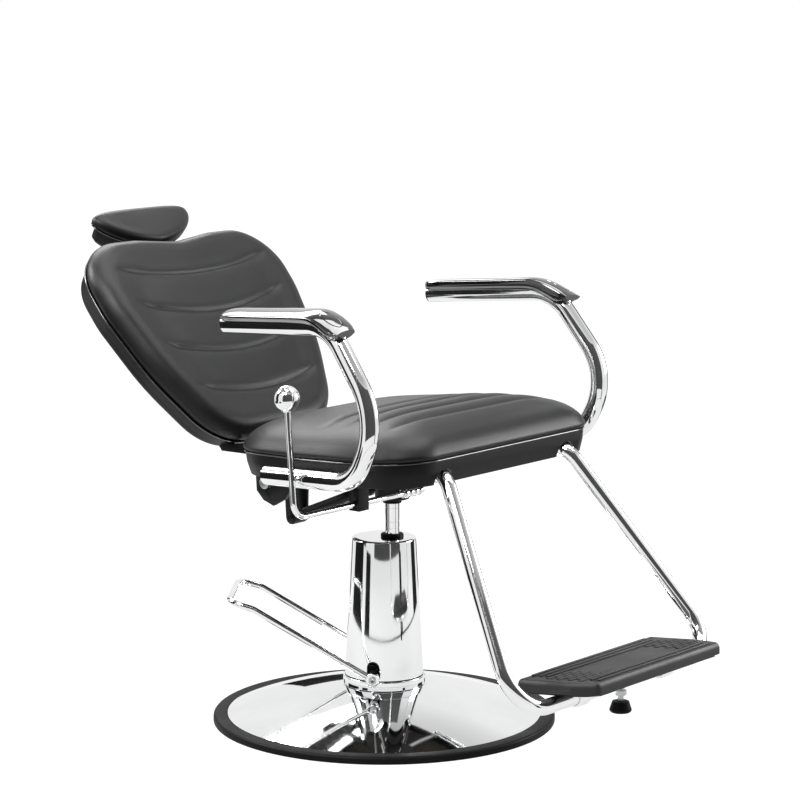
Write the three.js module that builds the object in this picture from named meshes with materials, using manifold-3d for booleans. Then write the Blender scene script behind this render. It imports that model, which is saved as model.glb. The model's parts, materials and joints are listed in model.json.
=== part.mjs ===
// A hydraulic barber chair in millimetres: +Z is up, the sitter faces -Y and the floor is z = 0.
// The origin is on the floor, on the axis of the lifting piston that the seat turns on.
import * as THREE from "three";
import Module from "manifold-3d";
import { mergeVertices } from "three/addons/utils/BufferGeometryUtils.js";

const wasm = await Module();
wasm.setup();

// Clearances.
const GAP = 0.3; // between faces that meet
const RUNNING = 0.5; // round a shaft or a rod that moves
const FREE = 3; // round an open pivot, and between pieces that pass each other

// Round base and hydraulic pump.
const BASE_RADIUS = 300;
const RIM_HEIGHT = 13;
const RIM_WIDTH = 25; // of the rubber that shows outside the dish
const RIM_LEDGE = 13; // of the rubber under the dish's edge
const RIM_BEVEL = 4;
const PLATE_THICKNESS = 8;
const DISH_TOP = 64;
const DISH_BULGE = 5;
const SHEET = 2; // chromed sheet of the dish and the cover
const COLLAR_RADIUS = 72;
const COLLAR_WALL = 4;
const COLLAR_HEIGHT = 17.5;
const COVER_BASE_RADIUS = 69;
const COVER_TOP_RADIUS = 56.4;
const COVER_TOP = 325;
const COVER_EDGE = 4;
const PUMP_OFFSET = 14.2; // from the cover's axis back to the piston's
const PEDAL_TURN = 36.9; // of the pedal's side of the base, from straight behind the chair
const PUMP_RADIUS = 42;
const PUMP_HEIGHT = 60;
const PUMP_FLANGE_RADIUS = 58;
const PUMP_FLANGE = 10;
const CYLINDER_RADIUS = 21;
const CYLINDER_TOP = 316;
const CYLINDER_FLOOR = 34;
const GLAND_RADIUS = 26;
const GLAND_HEIGHT = 16;
const WIPER_RADIUS = 20;
const WIPER_HEIGHT = 6;
const BOLT_RADIUS = 4;
const BOLT_HEAD_RADIUS = 7;
const BOLT_HEAD = 5;
const PUMP_BOLTS = 4;

// Foot pedal and the plunger that it drives.
const PEDAL_AXIS_Y = 16.1;
const PEDAL_AXIS_Z = 90;
const PEDAL_SHAFT_RADIUS = 7;
const PEDAL_HALF_WIDTH = 88.5;
const PEDAL_ROD_RADIUS = 5.75;
const PEDAL_KNEE_Y = 222;
const PEDAL_KNEE_Z = 213;
const PEDAL_END_Y = 264;
const PEDAL_END_Z = 225;
const PEDAL_KNEE_BEND = 40;
const PEDAL_END_BEND = 28;
const PEDAL_EYE_RADIUS = 12;
const PEDAL_EYE_THICKNESS = 12;
const LUG_OFFSET = 30;
const LUG_THICKNESS = 10;
const LUG_WIDTH = 26;
const CAM_REACH = 22;
const CAM_THICKNESS = 9;
const ROLLER_RADIUS = 5;
const PLUNGER_RADIUS = 8;
const PLUNGER_HEAD = 5;
const PLUNGER_FLOOR = 28;
const PLUNGER_FOOT = 41;
const BOSS_RADIUS = 12;
const BOSS_TOP = 62;
const SPRING_INNER_RADIUS = 9.5;
const SLOT_WIDTH = 22;
const SLOT_TOP = 116;

// Piston and the seat's socket on it.
const SEAM_HEIGHT = 500.5; // of the seat cushion's seam, which all that the seat carries follows
const PISTON_RADIUS = 13;
const PISTON_FOOT = 90;
const PISTON_TOP = SEAM_HEIGHT - 60.5;
const PISTON_COLLAR_RADIUS = 16.5;
const PISTON_COLLAR_Z = SEAM_HEIGHT - 115.5;
const PISTON_COLLAR_HEIGHT = 7;
const SOCKET_RADIUS = 30;
const SOCKET_CEILING = 8;

// Seat: its own frame lies in the seam between the cushion and the shell, tilted to the rear.
const SEAT_TILT = 3.3;
const SEAT_HALF_WIDTH = 270;
const SEAT_FRONT = 252;
const SEAT_REAR_HALF_WIDTH = 232;
const SEAT_REAR = 186;
const SEAT_SIDE_SWELL = 2;
const SEAT_SIDE_Y = -60;
const SEAT_SIDE_BEND = 900;
const SEAT_FRONT_CORNER = 80;
const SEAT_REAR_CORNER = 125;
const SEAT_PROFILE = [ // distance in from the seam, and height over it
  [0, 0], [-3, 6], [0, 14], [8, 26], [22, 38], [45, 49], [85, 59], [140, 65], [245, 68],
];
const SEAT_REAR_FALL = 0.12; // share of its height that the cushion loses toward the back
const SEAT_FALL_START = -120;
const SEAT_FALL_END = 70;
const SEAT_CHANNELS = 4;
const SEAT_CHANNEL_FIRST = -174;
const SEAT_CHANNEL_PITCH = 46;
const SEAT_CHANNEL_REACH = 200;
const SKIRT_HEIGHT = 42;
const SKIRT_DRAFT = 8;
const SHELL_WALL = 3;
const LEDGE_WIDTH = 20;
const BOARD_THICKNESS = 12;
const NOTCH_WIDTH = 47;
const NOTCH_DROP = 18; // from the seam down to the notch that the footrest's leg passes through

// Steel frame under the seat.
const RAIL_OFFSET = 105;
const RAIL_WIDTH = 25;
const RAIL_HEIGHT = 30;
const RAIL_FRONT = 200;
const RAIL_REAR = 160;
const CROSS_THICKNESS = 8;
const CROSS_WIDTH = 40;
const CROSS_HALF_LENGTH = 192;
const CROSS_FRONT = 170;
const CROSS_REAR = 88;
const MOUNT_PLATE_LENGTH = 130;

// Recline hinge, its side plates and the gas spring behind the socket.
const HINGE_Y = 198;
const HINGE_Z = SEAM_HEIGHT - 88.5;
const HINGE_PLATE = 8;
const HINGE_PLATE_OUTLINE = [ // Y and Z from the pin, along the plate's lower and rear edges
  [-46, -23.5], [-18, -39.3], [5, -31.5], [21, -16], [23, 13],
];
const HINGE_PIN_RADIUS = 6;
const HINGE_PIN_HEAD_RADIUS = 11;
const HINGE_PIN_HEAD = 4;
const BACK_ARM_THICKNESS = 8;
const BACK_ARM_GAP = 2;
const GAS_PIVOT_Y = 46;
const GAS_PIVOT_Z = SEAM_HEIGHT - 96.5;
const GAS_TAIL_Y = 220;
const GAS_TAIL_Z = SEAM_HEIGHT - 168.5;
const GAS_PIN_RADIUS = 4;
const GAS_EYE_RADIUS = 12;
const GAS_FRONT_EYE = 10;
const GAS_REAR_EYE = 23; // wider than the cylinder, which then swings between the lever's cheeks
const GAS_CYLINDER_RADIUS = 11;
const GAS_CYLINDER_LENGTH = 138;
const GAS_BORE_DEPTH = 90;
const GAS_BRACKET_RISE = 6; // toward the rear, of the bracket's cheeks
const GAS_FLANGE_HALF_WIDTH = 22;
const GAS_FLANGE_LENGTH = 32;
const GAS_ROD_RADIUS = 5;
const GAS_ROD_INSERT = 60;
const GAS_TAIL_GAP = 22; // from the rear pin to the cylinder
const GAS_CHEEK = 5;

// Armrests: each tube lies in an upright plane that opens toward the front.
const ARM_TOE = 7;
const ARM_OFFSET = 290.5; // of the tube's plane from the middle, abreast of the piston
const ARM_TUBE_RADIUS = 15.9;
const ARM_TUBE_WALL = 2;
const ARM_REAR = [134, SEAM_HEIGHT + 214.5];
const ARM_SHOULDER = [-122, SEAM_HEIGHT + 234.5];
const ARM_ELBOW = [-233, SEAM_HEIGHT + 91.5];
const ARM_HEEL = [-178, SEAM_HEIGHT - 16.5];
const ARM_FOOT = [35, SEAM_HEIGHT - 30.5];
const ARM_SHOULDER_BEND = 80;
const ARM_ELBOW_BEND = 110;
const ARM_HEEL_BEND = 70;
const PAD_HALF_WIDTH = 28.5;
const PAD_HUG = 10; // of the pad's sides down past the top of the tube
const PAD_HEIGHT = 11; // over the top of the tube
const PAD_RUN = [[130, 0.76], [123, 0.92], [110, 1], [-40, 1]]; // places along Y, and shares of the size
const PAD_NOSE = [ // Y, underside and top from the shoulder, and share of the width, over the tube's bend
  [-92, 0, 24, 1],
  [-120, -11, 18, 1],
  [-139, -20, 10, 0.97],
  [-151, -17, 3, 0.9],
  [-159, -13, -3, 0.76],
];
const PAD_SECTION = [ // shares of the half width and of the height, from the underside to the top
  [0.62, 0], [0.7, 0.35], [0.98, 0.52], [1, 0.7], [0.84, 0.9], [0.42, 1],
];
const STUD_RADIUS = 8;
const WASHER_RADIUS = 13;
const STUD_FRONT = -92;
const STUD_REAR = 18;
const PLUG_THICKNESS = 3;
const PLUG_STEM = 14;
const PLUG_FIT = 1.2;

// Footrest.
const FOOT_TUBE_RADIUS = 12.7;
const FOOT_TUBE_WALL = 2;
const FOOT_TUBE_END = [150, -128];
const FOOT_SHOULDER = [168.9, -252];
const FOOT_CORNER = [289, -487, 145];
const FOOT_SHOULDER_BEND = 42;
const FOOT_CORNER_BEND = 62;
const TREAD_REAR = 70.5; // from the tube under it
const TREAD_FRONT = 83.3;
const TREAD_HALF_WIDTH = 191;
const TREAD_FRONT_HALF_WIDTH = 177;
const TREAD_TAPER_START = 38;
const TREAD_CORNER = 8;
const TREAD_TILT = 5.9;
const TREAD_THICKNESS = 20;
const TREAD_PLATE = 3.6;
const TREAD_BEVEL = 3;
const RIB_HEIGHT = 2.5;
const RIB_WIDTH = 6;
const RIB_LENGTH = 320;
const RIB_PITCH = 14;
const REAR_RIBS = 3;
const FRONT_RIBS = 2;
const RIB_MARGIN = 12;
const CLAMP_OFFSET = 120;
const CLAMP_WIDTH = 26;
const CLAMP_WALL = 4;
const CLAMP_EARS = 34;
const BUMPER_RADIUS = 18.5;
const BUMPER_HEIGHT = 18.5;
const BUMPER_FOOT = 93.5;
const BUMPER_LIP = 5;
const BUMPER_TOP_RADIUS = 14;
const BUMPER_STEM_RADIUS = 5;

// Recline lever on the sitter's right.
const LEVER_AXIS_Y = -55;
const LEVER_AXIS_Z = SEAM_HEIGHT - 87.5;
const LEVER_ROD_RADIUS = 5.25;
const LEVER_OUT = 320;
const LEVER_INNER_END = 12;
const LEVER_KNOB = [-40, SEAM_HEIGHT + 110.5];
const LEVER_KNOB_RADIUS = 21.5;
const LEVER_BEND = 26;
const LEVER_CLAMP_X = -155;
const LEVER_CLAMP_WIDTH = 26;
const LEVER_CLAMP_DEPTH = 22;
const SLEEVE_RADIUS = 9;
const SLEEVE_LENGTH = 52;
const SLEEVE_RIDGES = 4;
const SLEEVE_RIDGE = [0.3, 0.7]; // of the pitch, where a ridge starts and ends

// Backrest: its own frame is at the recline hinge, with +Z up the back and -Y out of its face.
const BACK_LEAN = 39.1;
const BACK_SEAM_Y = 19.6; // of the cushion's seam in that frame
const BACK_BASE_Z = 190.3; // of the outline's zero
const BACK_BOTTOM = -92;
const BACK_BOTTOM_HALF_WIDTH = 144;
const BACK_BOTTOM_CORNER = 110;
const BACK_WAIST_Z = 60;
const BACK_WAIST_HALF_WIDTH = 214;
const BACK_WAIST_BEND = 400;
const BACK_WIDEST_Z = 190;
const BACK_HALF_WIDTH = 241;
const BACK_WIDEST_BEND = 180;
const BACK_TOP = 331;
const BACK_TOP_CORNER = 118;
const BACK_DIP = 22;
const BACK_DIP_HALF_WIDTH = 98;
const BACK_DIP_BEND = 145;
const BACK_PROFILE = [ // distance in from the seam, and depth over it: a bolster runs round the edge
  [0, 0], [-4, 8], [-3, 18], [3, 28.5], [12, 36], [26, 39.5], [46, 39], [72, 37.5], [120, 39], [222, 39],
];
const BACK_SHELL_PROFILE = [[70, 50], [28, 48], [14, 42], [7, 25], [0, 0]]; // distance in, and depth
const BACK_CHANNELS = [ // height of the middle, half length and rise of the ends
  [239, 203, 28], [156, 191, 36], [71, 187, 36], [-13, 160, 26],
];
const BACK_BOARD_INSET = 4; // of the board from the shell's lining at the seam
const BACK_ARM_DEPTH = 28;
const BACK_ARM_WIDTH = 30;
const BACK_ARM_TOP = 450;
const BACK_ARM_NECK = 6; // above the shell's lower edge, where the arm reaches its depth
const BACK_TUBE_RADIUS = 12;
const BACK_TUBE_Y = -7;
const BACK_TUBE_Z = 46;

// Headrest on its sliding post.
const GUIDE_FOOT = 420;
const GUIDE_TOP = GUIDE_FOOT + 86;
const GUIDE_HALF_WIDTH = 30;
const POST_WIDTH = 40;
const POST_THICKNESS = 8;
const POST_Y = 43.6;
const POST_FOOT = GUIDE_FOOT - 170;
const HEAD_PIVOT_Y = POST_Y + 6.9;
const HEAD_PIVOT_Z = GUIDE_TOP + 25;
const HEAD_LEAN = 11.5; // beyond the backrest's
const HEAD_FACE = 39; // of the pad's face above the pivot
const HEAD_PAD_DEPTH = 23.5;
const HEAD_PROFILE = [[0, 0], [-2.5, 5], [-2.5, 11], [2, 17], [11, 21], [30, 23], [62, HEAD_PAD_DEPTH]];
const HEAD_SHELL_DEPTH = 34;
const HEAD_SHELL_ROWS = [ // shares in, and of its depth
  [0.75, 1], [0.45, 0.95], [0.24, 0.78], [0.15, 0.5], [0.1, 0.12],
];
const HEAD_OPENING_TOP = 30; // above the pivot, of the opening for the bracket
const HEAD_HALF_WIDTH = 116.5;
const HEAD_REACH = 78;
const HEAD_WIDEST = 54; // of the outline's widest place from the pivot
const HEAD_RISE = 18.5; // above the widest place
const HEAD_FALL = 65.5; // below it
const HEAD_EDGE_ROUND = 3.6; // exponents of the outline's curve, above and below
const HEAD_BELLY_ROUND = 1.62;
const BRACKET_HALF_WIDTH = 52;
const BRACKET_PLATE = 3;
const BRACKET_EAR = 4;
const HEAD_PIN_RADIUS = 5;
const HEAD_EYE_RADIUS = 10;

// Cutters of the channels in the padding.
const CHANNEL_RADIUS = 7;
const CHANNEL_LIFT = 1.5; // of the cutter's middle over the surface
const CHANNEL_SIDES = 6;
const CHANNEL_STEPS = 10;

// Fineness of the round forms.
const ARC_STEPS = 4; // in a quarter turn of a bent rod
const DISH_STEPS = 4; // across the dish
const LOOP_STEPS = 12; // in a quarter turn of an outline
const FINE = 32;
const ROUND = 14;
const SMALL = 10;
const BAR_SIDES = 10;
const FORM_POINTS = 44;
const SHELL_POINTS = 34;
const WELD = 0.001;
const QUARTER = Math.PI / 2;
const HEX = 6;
const OVER = 1; // by which a cutter passes the face that it cuts

const radians = THREE.MathUtils.degToRad;
const point = (x, y, z = 0) => new THREE.Vector3(x, y, z);

// Materials.
function finish(color, roughness, metalness) {
  return new THREE.MeshStandardMaterial({ color, roughness, metalness });
}

const chrome = finish(0xd8dadc, 0.12, 1);
const steel = finish(0x9a9c9e, 0.35, 1);
const blackSteel = finish(0x17181a, 0.5, 0.3);
const rubber = finish(0x1b1b1c, 0.85, 0);
const vinyl = finish(0x2b2c2e, 0.55, 0);
const satinPlastic = finish(0x131314, 0.45, 0);
const glossPlastic = finish(0x0c0c0d, 0.15, 0);
const plywood = finish(0x2a2622, 0.7, 0);

// A closed geometry as a solid for booleans, and a solid as a geometry.
function solid(geometry) {
  const bare = geometry.index ? geometry.toNonIndexed() : geometry.clone();
  bare.deleteAttribute("normal");
  bare.deleteAttribute("uv");
  const welded = mergeVertices(bare, WELD);
  return new wasm.Manifold(
    new wasm.Mesh({
      numProp: 3,
      vertProperties: welded.attributes.position.array,
      triVerts: new Uint32Array(welded.index.array),
    }),
  );
}

function geometryOf(body) {
  const mesh = body.getMesh();
  const geometry = new THREE.BufferGeometry();
  geometry.setAttribute("position", new THREE.BufferAttribute(mesh.vertProperties, 3));
  geometry.setIndex(new THREE.BufferAttribute(mesh.triVerts, 1));
  geometry.computeVertexNormals();
  return geometry;
}

const join = (...pieces) => geometryOf(pieces.map(solid).reduce((whole, piece) => whole.add(piece)));

function cut(whole, ...tools) {
  return geometryOf(tools.map(solid).reduce((left, tool) => left.subtract(tool), solid(whole)));
}

// Plain solids. A bar lies along X and a post stands along Z.
function box(x0, x1, y0, y1, z0, z1) {
  const block = new THREE.BoxGeometry(x1 - x0, y1 - y0, z1 - z0);
  return block.translate((x0 + x1) / 2, (y0 + y1) / 2, (z0 + z1) / 2);
}

function bar(radius, x0, x1, y, z, sides = ROUND) {
  const cylinder = new THREE.CylinderGeometry(radius, radius, Math.abs(x1 - x0), sides);
  return cylinder.rotateZ(QUARTER).translate((x0 + x1) / 2, y, z);
}

function post(radius, z0, z1, x, y, sides = ROUND) {
  const cylinder = new THREE.CylinderGeometry(radius, radius, z1 - z0, sides);
  return cylinder.rotateX(QUARTER).translate(x, y, (z0 + z1) / 2);
}

// A profile of [radius, height] turned about +Z: it runs up the outside, and back to where it began.
function turned(profile, sides = FINE) {
  const points = profile.map(([radius, height]) => new THREE.Vector2(radius, height));
  return new THREE.LatheGeometry(points, sides).rotateX(QUARTER);
}

function circle(radius, sides) {
  return Array.from({ length: sides }, (_, i) => {
    const angle = (i / sides) * 2 * Math.PI;
    return new THREE.Vector2(radius * Math.cos(angle), radius * Math.sin(angle));
  });
}

// A plate upright in the YZ plane between x0 and x1, from an outline of [y, z] seen from +X.
function sidePlate(outline, x0, x1) {
  const shape = new THREE.Shape(outline.map(([y, z]) => new THREE.Vector2(y, z)));
  const plate = new THREE.ExtrudeGeometry(shape, { depth: x1 - x0, bevelEnabled: false });
  return plate.rotateX(QUARTER).rotateZ(QUARTER).translate(x0, 0, 0);
}

// The arc that rounds one corner, as points with their directions of travel.
function roundedCorner(before, corner, after, radius, stepsInQuarter) {
  const back = before.clone().sub(corner).normalize();
  const ahead = after.clone().sub(corner).normalize();
  const turn = Math.PI - back.angleTo(ahead);
  const start = corner.clone().addScaledVector(back, radius * Math.tan(turn / 2));
  const middle = back.clone().add(ahead).normalize();
  const centre = corner.clone().addScaledVector(middle, radius / Math.cos(turn / 2));
  const spoke = start.clone().sub(centre);
  const travel = back.clone().negate();
  const steps = Math.max(2, Math.ceil((turn / QUARTER) * stepsInQuarter));
  return Array.from({ length: steps + 1 }, (_, i) => {
    const angle = (turn * i) / steps;
    const [sine, cosine] = [Math.sin(angle), Math.cos(angle)];
    const place = spoke.clone().multiplyScalar(cosine).addScaledVector(travel, radius * sine).add(centre);
    const heading = travel.clone().multiplyScalar(cosine).addScaledVector(spoke, -sine / radius);
    return { place, heading };
  });
}

// Straight runs with rounded corners: a run takes one step and a corner a few.
class RodPath extends THREE.Curve {
  constructor(...corners) {
    super();
    const points = corners.map(([x, y, z]) => point(x, y, z));
    const last = points.length - 1;
    const headingTo = (i) => points[i].clone().sub(points[i - 1]).normalize();
    this.stops = [{ place: points[0], heading: headingTo(1) }];
    for (let i = 1; i < last; i++) {
      this.stops.push(...roundedCorner(points[i - 1], points[i], points[i + 1], corners[i][3], ARC_STEPS));
    }
    this.stops.push({ place: points[last], heading: headingTo(last) });
    this.steps = this.stops.length - 1;
  }

  stopAt(share) {
    return this.stops[Math.round(share * this.steps)];
  }

  getPointAt(share) {
    return this.stopAt(share).place.clone();
  }

  getTangentAt(share) {
    return this.stopAt(share).heading.clone();
  }
}

function rod(path, radius, sides, bore = 0) {
  const section = new THREE.Shape(circle(radius, sides));
  if (bore > 0) {
    section.holes.push(new THREE.Path(circle(bore, sides).reverse()));
  }
  return new THREE.ExtrudeGeometry(section, { extrudePath: path, steps: path.steps, bevelEnabled: false });
}

// Outlines: the right half's corners of [x, y, radius] from bottom to top, mirrored and rounded.
function symmetricLoop(half, count) {
  const mirrored = half.filter(([x]) => x > 0).reverse().map(([x, y, radius]) => [-x, y, radius]);
  const corners = [...half, ...mirrored];
  const points = corners.map(([x, y]) => point(x, y));
  const path = corners.flatMap(([, , radius], i) => {
    const before = points[(i + points.length - 1) % points.length];
    const after = points[(i + 1) % points.length];
    return roundedCorner(before, points[i], after, radius, LOOP_STEPS).map((stop) => stop.place);
  });
  return evenly(path, count);
}

// Points at equal steps along a closed path.
function evenly(path, count) {
  const closed = [...path, path[0]];
  const along = [0];
  closed.slice(1).forEach((place, i) => along.push(along[i] + place.distanceTo(closed[i])));
  const whole = along[along.length - 1];
  let leg = 0;
  return Array.from({ length: count }, (_, i) => {
    const target = (whole * i) / count;
    while (along[leg + 1] < target) {
      leg += 1;
    }
    const share = (target - along[leg]) / (along[leg + 1] - along[leg]);
    return closed[leg].clone().lerp(closed[leg + 1], share);
  });
}

// A loop moved in by a distance at right angles to itself, at a height.
function inset(loop, distance, height) {
  return loop.map((place, i) => {
    const before = loop[(i + loop.length - 1) % loop.length];
    const after = loop[(i + 1) % loop.length];
    const along = after.clone().sub(before).normalize();
    return point(place.x - along.y * distance, place.y + along.x * distance, height);
  });
}

// A loop drawn toward a centre by a share of its reach, at a height that may vary.
function drawnIn(loop, centre, share, height) {
  return loop.map((place) => {
    const drawn = place.clone().lerp(centre, share);
    drawn.z = height(drawn);
    return drawn;
  });
}

// A skin through loops, capped at both ends, or led back to the first loop.
function loft(loops, closed = false) {
  const count = loops[0].length;
  const places = loops.flat();
  const faces = [];
  const spans = closed ? loops.length : loops.length - 1;
  for (let row = 0; row < spans; row++) {
    const low = row * count;
    const high = ((row + 1) % loops.length) * count;
    for (let i = 0; i < count; i++) {
      const next = (i + 1) % count;
      faces.push(low + i, low + next, high + next, low + i, high + next, high + i);
    }
  }
  if (!closed) {
    const top = places.length - count;
    const middles = [loops[0], loops[loops.length - 1]].map((loop) =>
      loop.reduce((sum, place) => sum.add(place), point(0, 0, 0)).divideScalar(count),
    );
    places.push(...middles);
    for (let i = 0; i < count; i++) {
      const next = (i + 1) % count;
      faces.push(places.length - 2, next, i, places.length - 1, top + i, top + next);
    }
  }
  const geometry = new THREE.BufferGeometry();
  geometry.setAttribute("position", new THREE.Float32BufferAttribute(places.flatMap((p) => p.toArray()), 3));
  geometry.setIndex(faces);
  geometry.computeVertexNormals();
  return geometry;
}

const cross = (a, b) => a.x * b.y - a.y * b.x;

// How far out a place lies, as a share of the loop's reach in its direction.
function shareOut(loop, centre, place) {
  const ray = place.clone().sub(centre);
  for (let i = 0; i < loop.length; i++) {
    const from = loop[i].clone().sub(centre);
    const edge = loop[(i + 1) % loop.length].clone().sub(loop[i]);
    const along = cross(from, ray) / cross(ray, edge);
    const reach = cross(from, edge) / cross(ray, edge);
    if (along >= 0 && along <= 1 && reach > 0) {
      return 1 / reach;
    }
  }
  return 0;
}

// A padded form over its seam: it swells a little past the seam, draws in and rises to a crown.
class Pad {
  constructor(loop, centre, reach, profile, level = () => 1) {
    Object.assign(this, { loop, centre, reach, profile, level });
  }

  heightAt(place) {
    const drawn = this.reach * (1 - shareOut(this.loop, this.centre, place));
    const i = this.profile.findIndex(([distance]) => distance > drawn);
    const [from, low] = this.profile[i - 1];
    const [to, high] = this.profile[i];
    return (low + ((high - low) * (drawn - from)) / (to - from)) * this.level(place);
  }

  body() {
    const loops = this.profile.map(([distance, height]) =>
      drawnIn(this.loop, this.centre, distance / this.reach, (place) => GAP + height * this.level(place)),
    );
    return loft(loops);
  }

  // A cutter along y = curve(x) that sinks into the surface and fades out at both ends.
  channel(curve, half) {
    const places = Array.from({ length: CHANNEL_STEPS + 1 }, (_, i) => {
      const share = (2 * i) / CHANNEL_STEPS - 1;
      const place = point(share * half, curve(share * half));
      place.z = this.heightAt(place) + CHANNEL_LIFT + CHANNEL_RADIUS * share ** 6;
      return place;
    });
    const section = new THREE.Shape(circle(CHANNEL_RADIUS, CHANNEL_SIDES));
    const extrudePath = new THREE.CatmullRomCurve3(places);
    return new THREE.ExtrudeGeometry(section, { extrudePath, steps: CHANNEL_STEPS, bevelEnabled: false });
  }
}

function add(group, name, geometry, material) {
  const mesh = new THREE.Mesh(geometry, material);
  mesh.name = name;
  group.add(mesh);
}

const SIDES = [["left", 1], ["right", -1]]; // the sitter's left is +X

const chair = new THREE.Group();

// ---- Base: rubber ring, steel plate, chromed dish and pump, turned so that +Y is the pedal's side.
const dishEdge = BASE_RADIUS - RIM_WIDTH;
const ringInner = dishEdge - RIM_LEDGE;
const dishTopRadius = COLLAR_RADIUS - COLLAR_WALL;
const collarFoot = DISH_TOP + GAP;
const coverFoot = collarFoot + COLLAR_HEIGHT + GAP;
const pumpFoot = PLATE_THICKNESS + GAP;
const plungerY = PEDAL_AXIS_Y + CAM_REACH;
const plungerTop = PEDAL_AXIS_Z - ROLLER_RADIUS - RUNNING;
const pistonBore = PISTON_RADIUS + RUNNING;

function rubberRing() {
  const ledge = RIM_HEIGHT - SHEET;
  const bevel = BASE_RADIUS - RIM_BEVEL;
  return turned([
    [ringInner, 0], [BASE_RADIUS, 0], [BASE_RADIUS, RIM_HEIGHT - RIM_BEVEL], [bevel, RIM_HEIGHT],
    [dishEdge + GAP, RIM_HEIGHT], [dishEdge + GAP, ledge], [ringInner, ledge], [ringInner, 0],
  ]);
}

function dish() {
  const steps = DISH_STEPS;
  const skin = (drop) =>
    Array.from({ length: steps + 1 }, (_, i) => {
      const share = i / steps;
      const rise = 4 * DISH_BULGE * share * (1 - share);
      const straight = RIM_HEIGHT + GAP + (DISH_TOP - RIM_HEIGHT - GAP) * share;
      return [dishEdge + (dishTopRadius - dishEdge) * share, straight + rise - drop];
    });
  const outside = skin(0);
  return turned([...outside, ...skin(SHEET).reverse(), outside[0]]);
}

function collar() {
  const top = collarFoot + COLLAR_HEIGHT;
  const edge = COLLAR_WALL / 2;
  return turned([
    [dishTopRadius, collarFoot], [COLLAR_RADIUS, collarFoot], [COLLAR_RADIUS, top - edge],
    [COLLAR_RADIUS - edge, top], [dishTopRadius, top], [dishTopRadius, collarFoot],
  ]);
}

function pumpCover() {
  const inside = COVER_TOP - SHEET;
  const shoulder = COVER_TOP - COVER_EDGE;
  const shell = turned([
    [0, inside], [COVER_TOP_RADIUS - COVER_EDGE, inside], [COVER_TOP_RADIUS - SHEET, shoulder],
    [COVER_BASE_RADIUS - SHEET, coverFoot], [COVER_BASE_RADIUS, coverFoot], [COVER_TOP_RADIUS, shoulder],
    [COVER_TOP_RADIUS - COVER_EDGE / 3, COVER_TOP - COVER_EDGE / 3],
    [COVER_TOP_RADIUS - COVER_EDGE, COVER_TOP], [0, COVER_TOP],
  ]);
  const across = COVER_BASE_RADIUS + OVER;
  const low = PEDAL_AXIS_Y - SLOT_WIDTH / 2;
  const slots = box(-across, across, low, low + SLOT_WIDTH, coverFoot - OVER, SLOT_TOP);
  const hole = post(pistonBore + RUNNING, inside - OVER, COVER_TOP + OVER, 0, -PUMP_OFFSET);
  return cut(shell, slots, hole);
}

function pumpBoltPlaces() {
  return Array.from({ length: PUMP_BOLTS }, (_, i) => {
    const angle = (-Math.PI * i) / (PUMP_BOLTS - 1);
    const radius = (PUMP_RADIUS + PUMP_FLANGE_RADIUS) / 2;
    return [radius * Math.cos(angle), radius * Math.sin(angle) - PUMP_OFFSET];
  });
}

function pumpBody() {
  const glandFoot = CYLINDER_TOP - GLAND_HEIGHT;
  const flange = pumpFoot + PUMP_FLANGE;
  const barrel = turned([
    [0, pumpFoot], [PUMP_FLANGE_RADIUS, pumpFoot], [PUMP_FLANGE_RADIUS, flange], [PUMP_RADIUS, flange],
    [PUMP_RADIUS, PUMP_HEIGHT], [CYLINDER_RADIUS, PUMP_HEIGHT], [CYLINDER_RADIUS, glandFoot],
    [GLAND_RADIUS, glandFoot], [GLAND_RADIUS, CYLINDER_TOP], [pistonBore, CYLINDER_TOP],
    [pistonBore, CYLINDER_FLOOR], [0, CYLINDER_FLOOR],
  ], ROUND).translate(0, -PUMP_OFFSET, 0);
  const lugs = SIDES.map(([, side]) => {
    const lugTop = PEDAL_AXIS_Z + LUG_WIDTH / 2;
    const middle = side * LUG_OFFSET;
    const half = LUG_THICKNESS / 2;
    const low = PEDAL_AXIS_Y - LUG_WIDTH / 2;
    return box(middle - half, middle + half, low, low + LUG_WIDTH, pumpFoot, lugTop);
  });
  const boss = post(BOSS_RADIUS, pumpFoot, BOSS_TOP, 0, plungerY);
  const web = box(-PLUNGER_RADIUS, PLUNGER_RADIUS, 0, plungerY, pumpFoot, PLUNGER_FLOOR);
  const across = LUG_OFFSET + LUG_THICKNESS;
  const bolts = pumpBoltPlaces().map(([x, y]) =>
    post(BOLT_HEAD_RADIUS, pumpFoot, flange + BOLT_HEAD, x, y, HEX));
  return cut(
    join(barrel, ...lugs, boss, web, ...bolts),
    bar(PEDAL_SHAFT_RADIUS + RUNNING, -across, across, PEDAL_AXIS_Y, PEDAL_AXIS_Z),
    post(PLUNGER_RADIUS + RUNNING, PLUNGER_FLOOR, BOSS_TOP + OVER, 0, plungerY),
  );
}

function ring(outer, inner, z0, z1, sides = ROUND) {
  return turned([[inner, z0], [outer, z0], [outer, z1], [inner, z1], [inner, z0]], sides);
}

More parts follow.
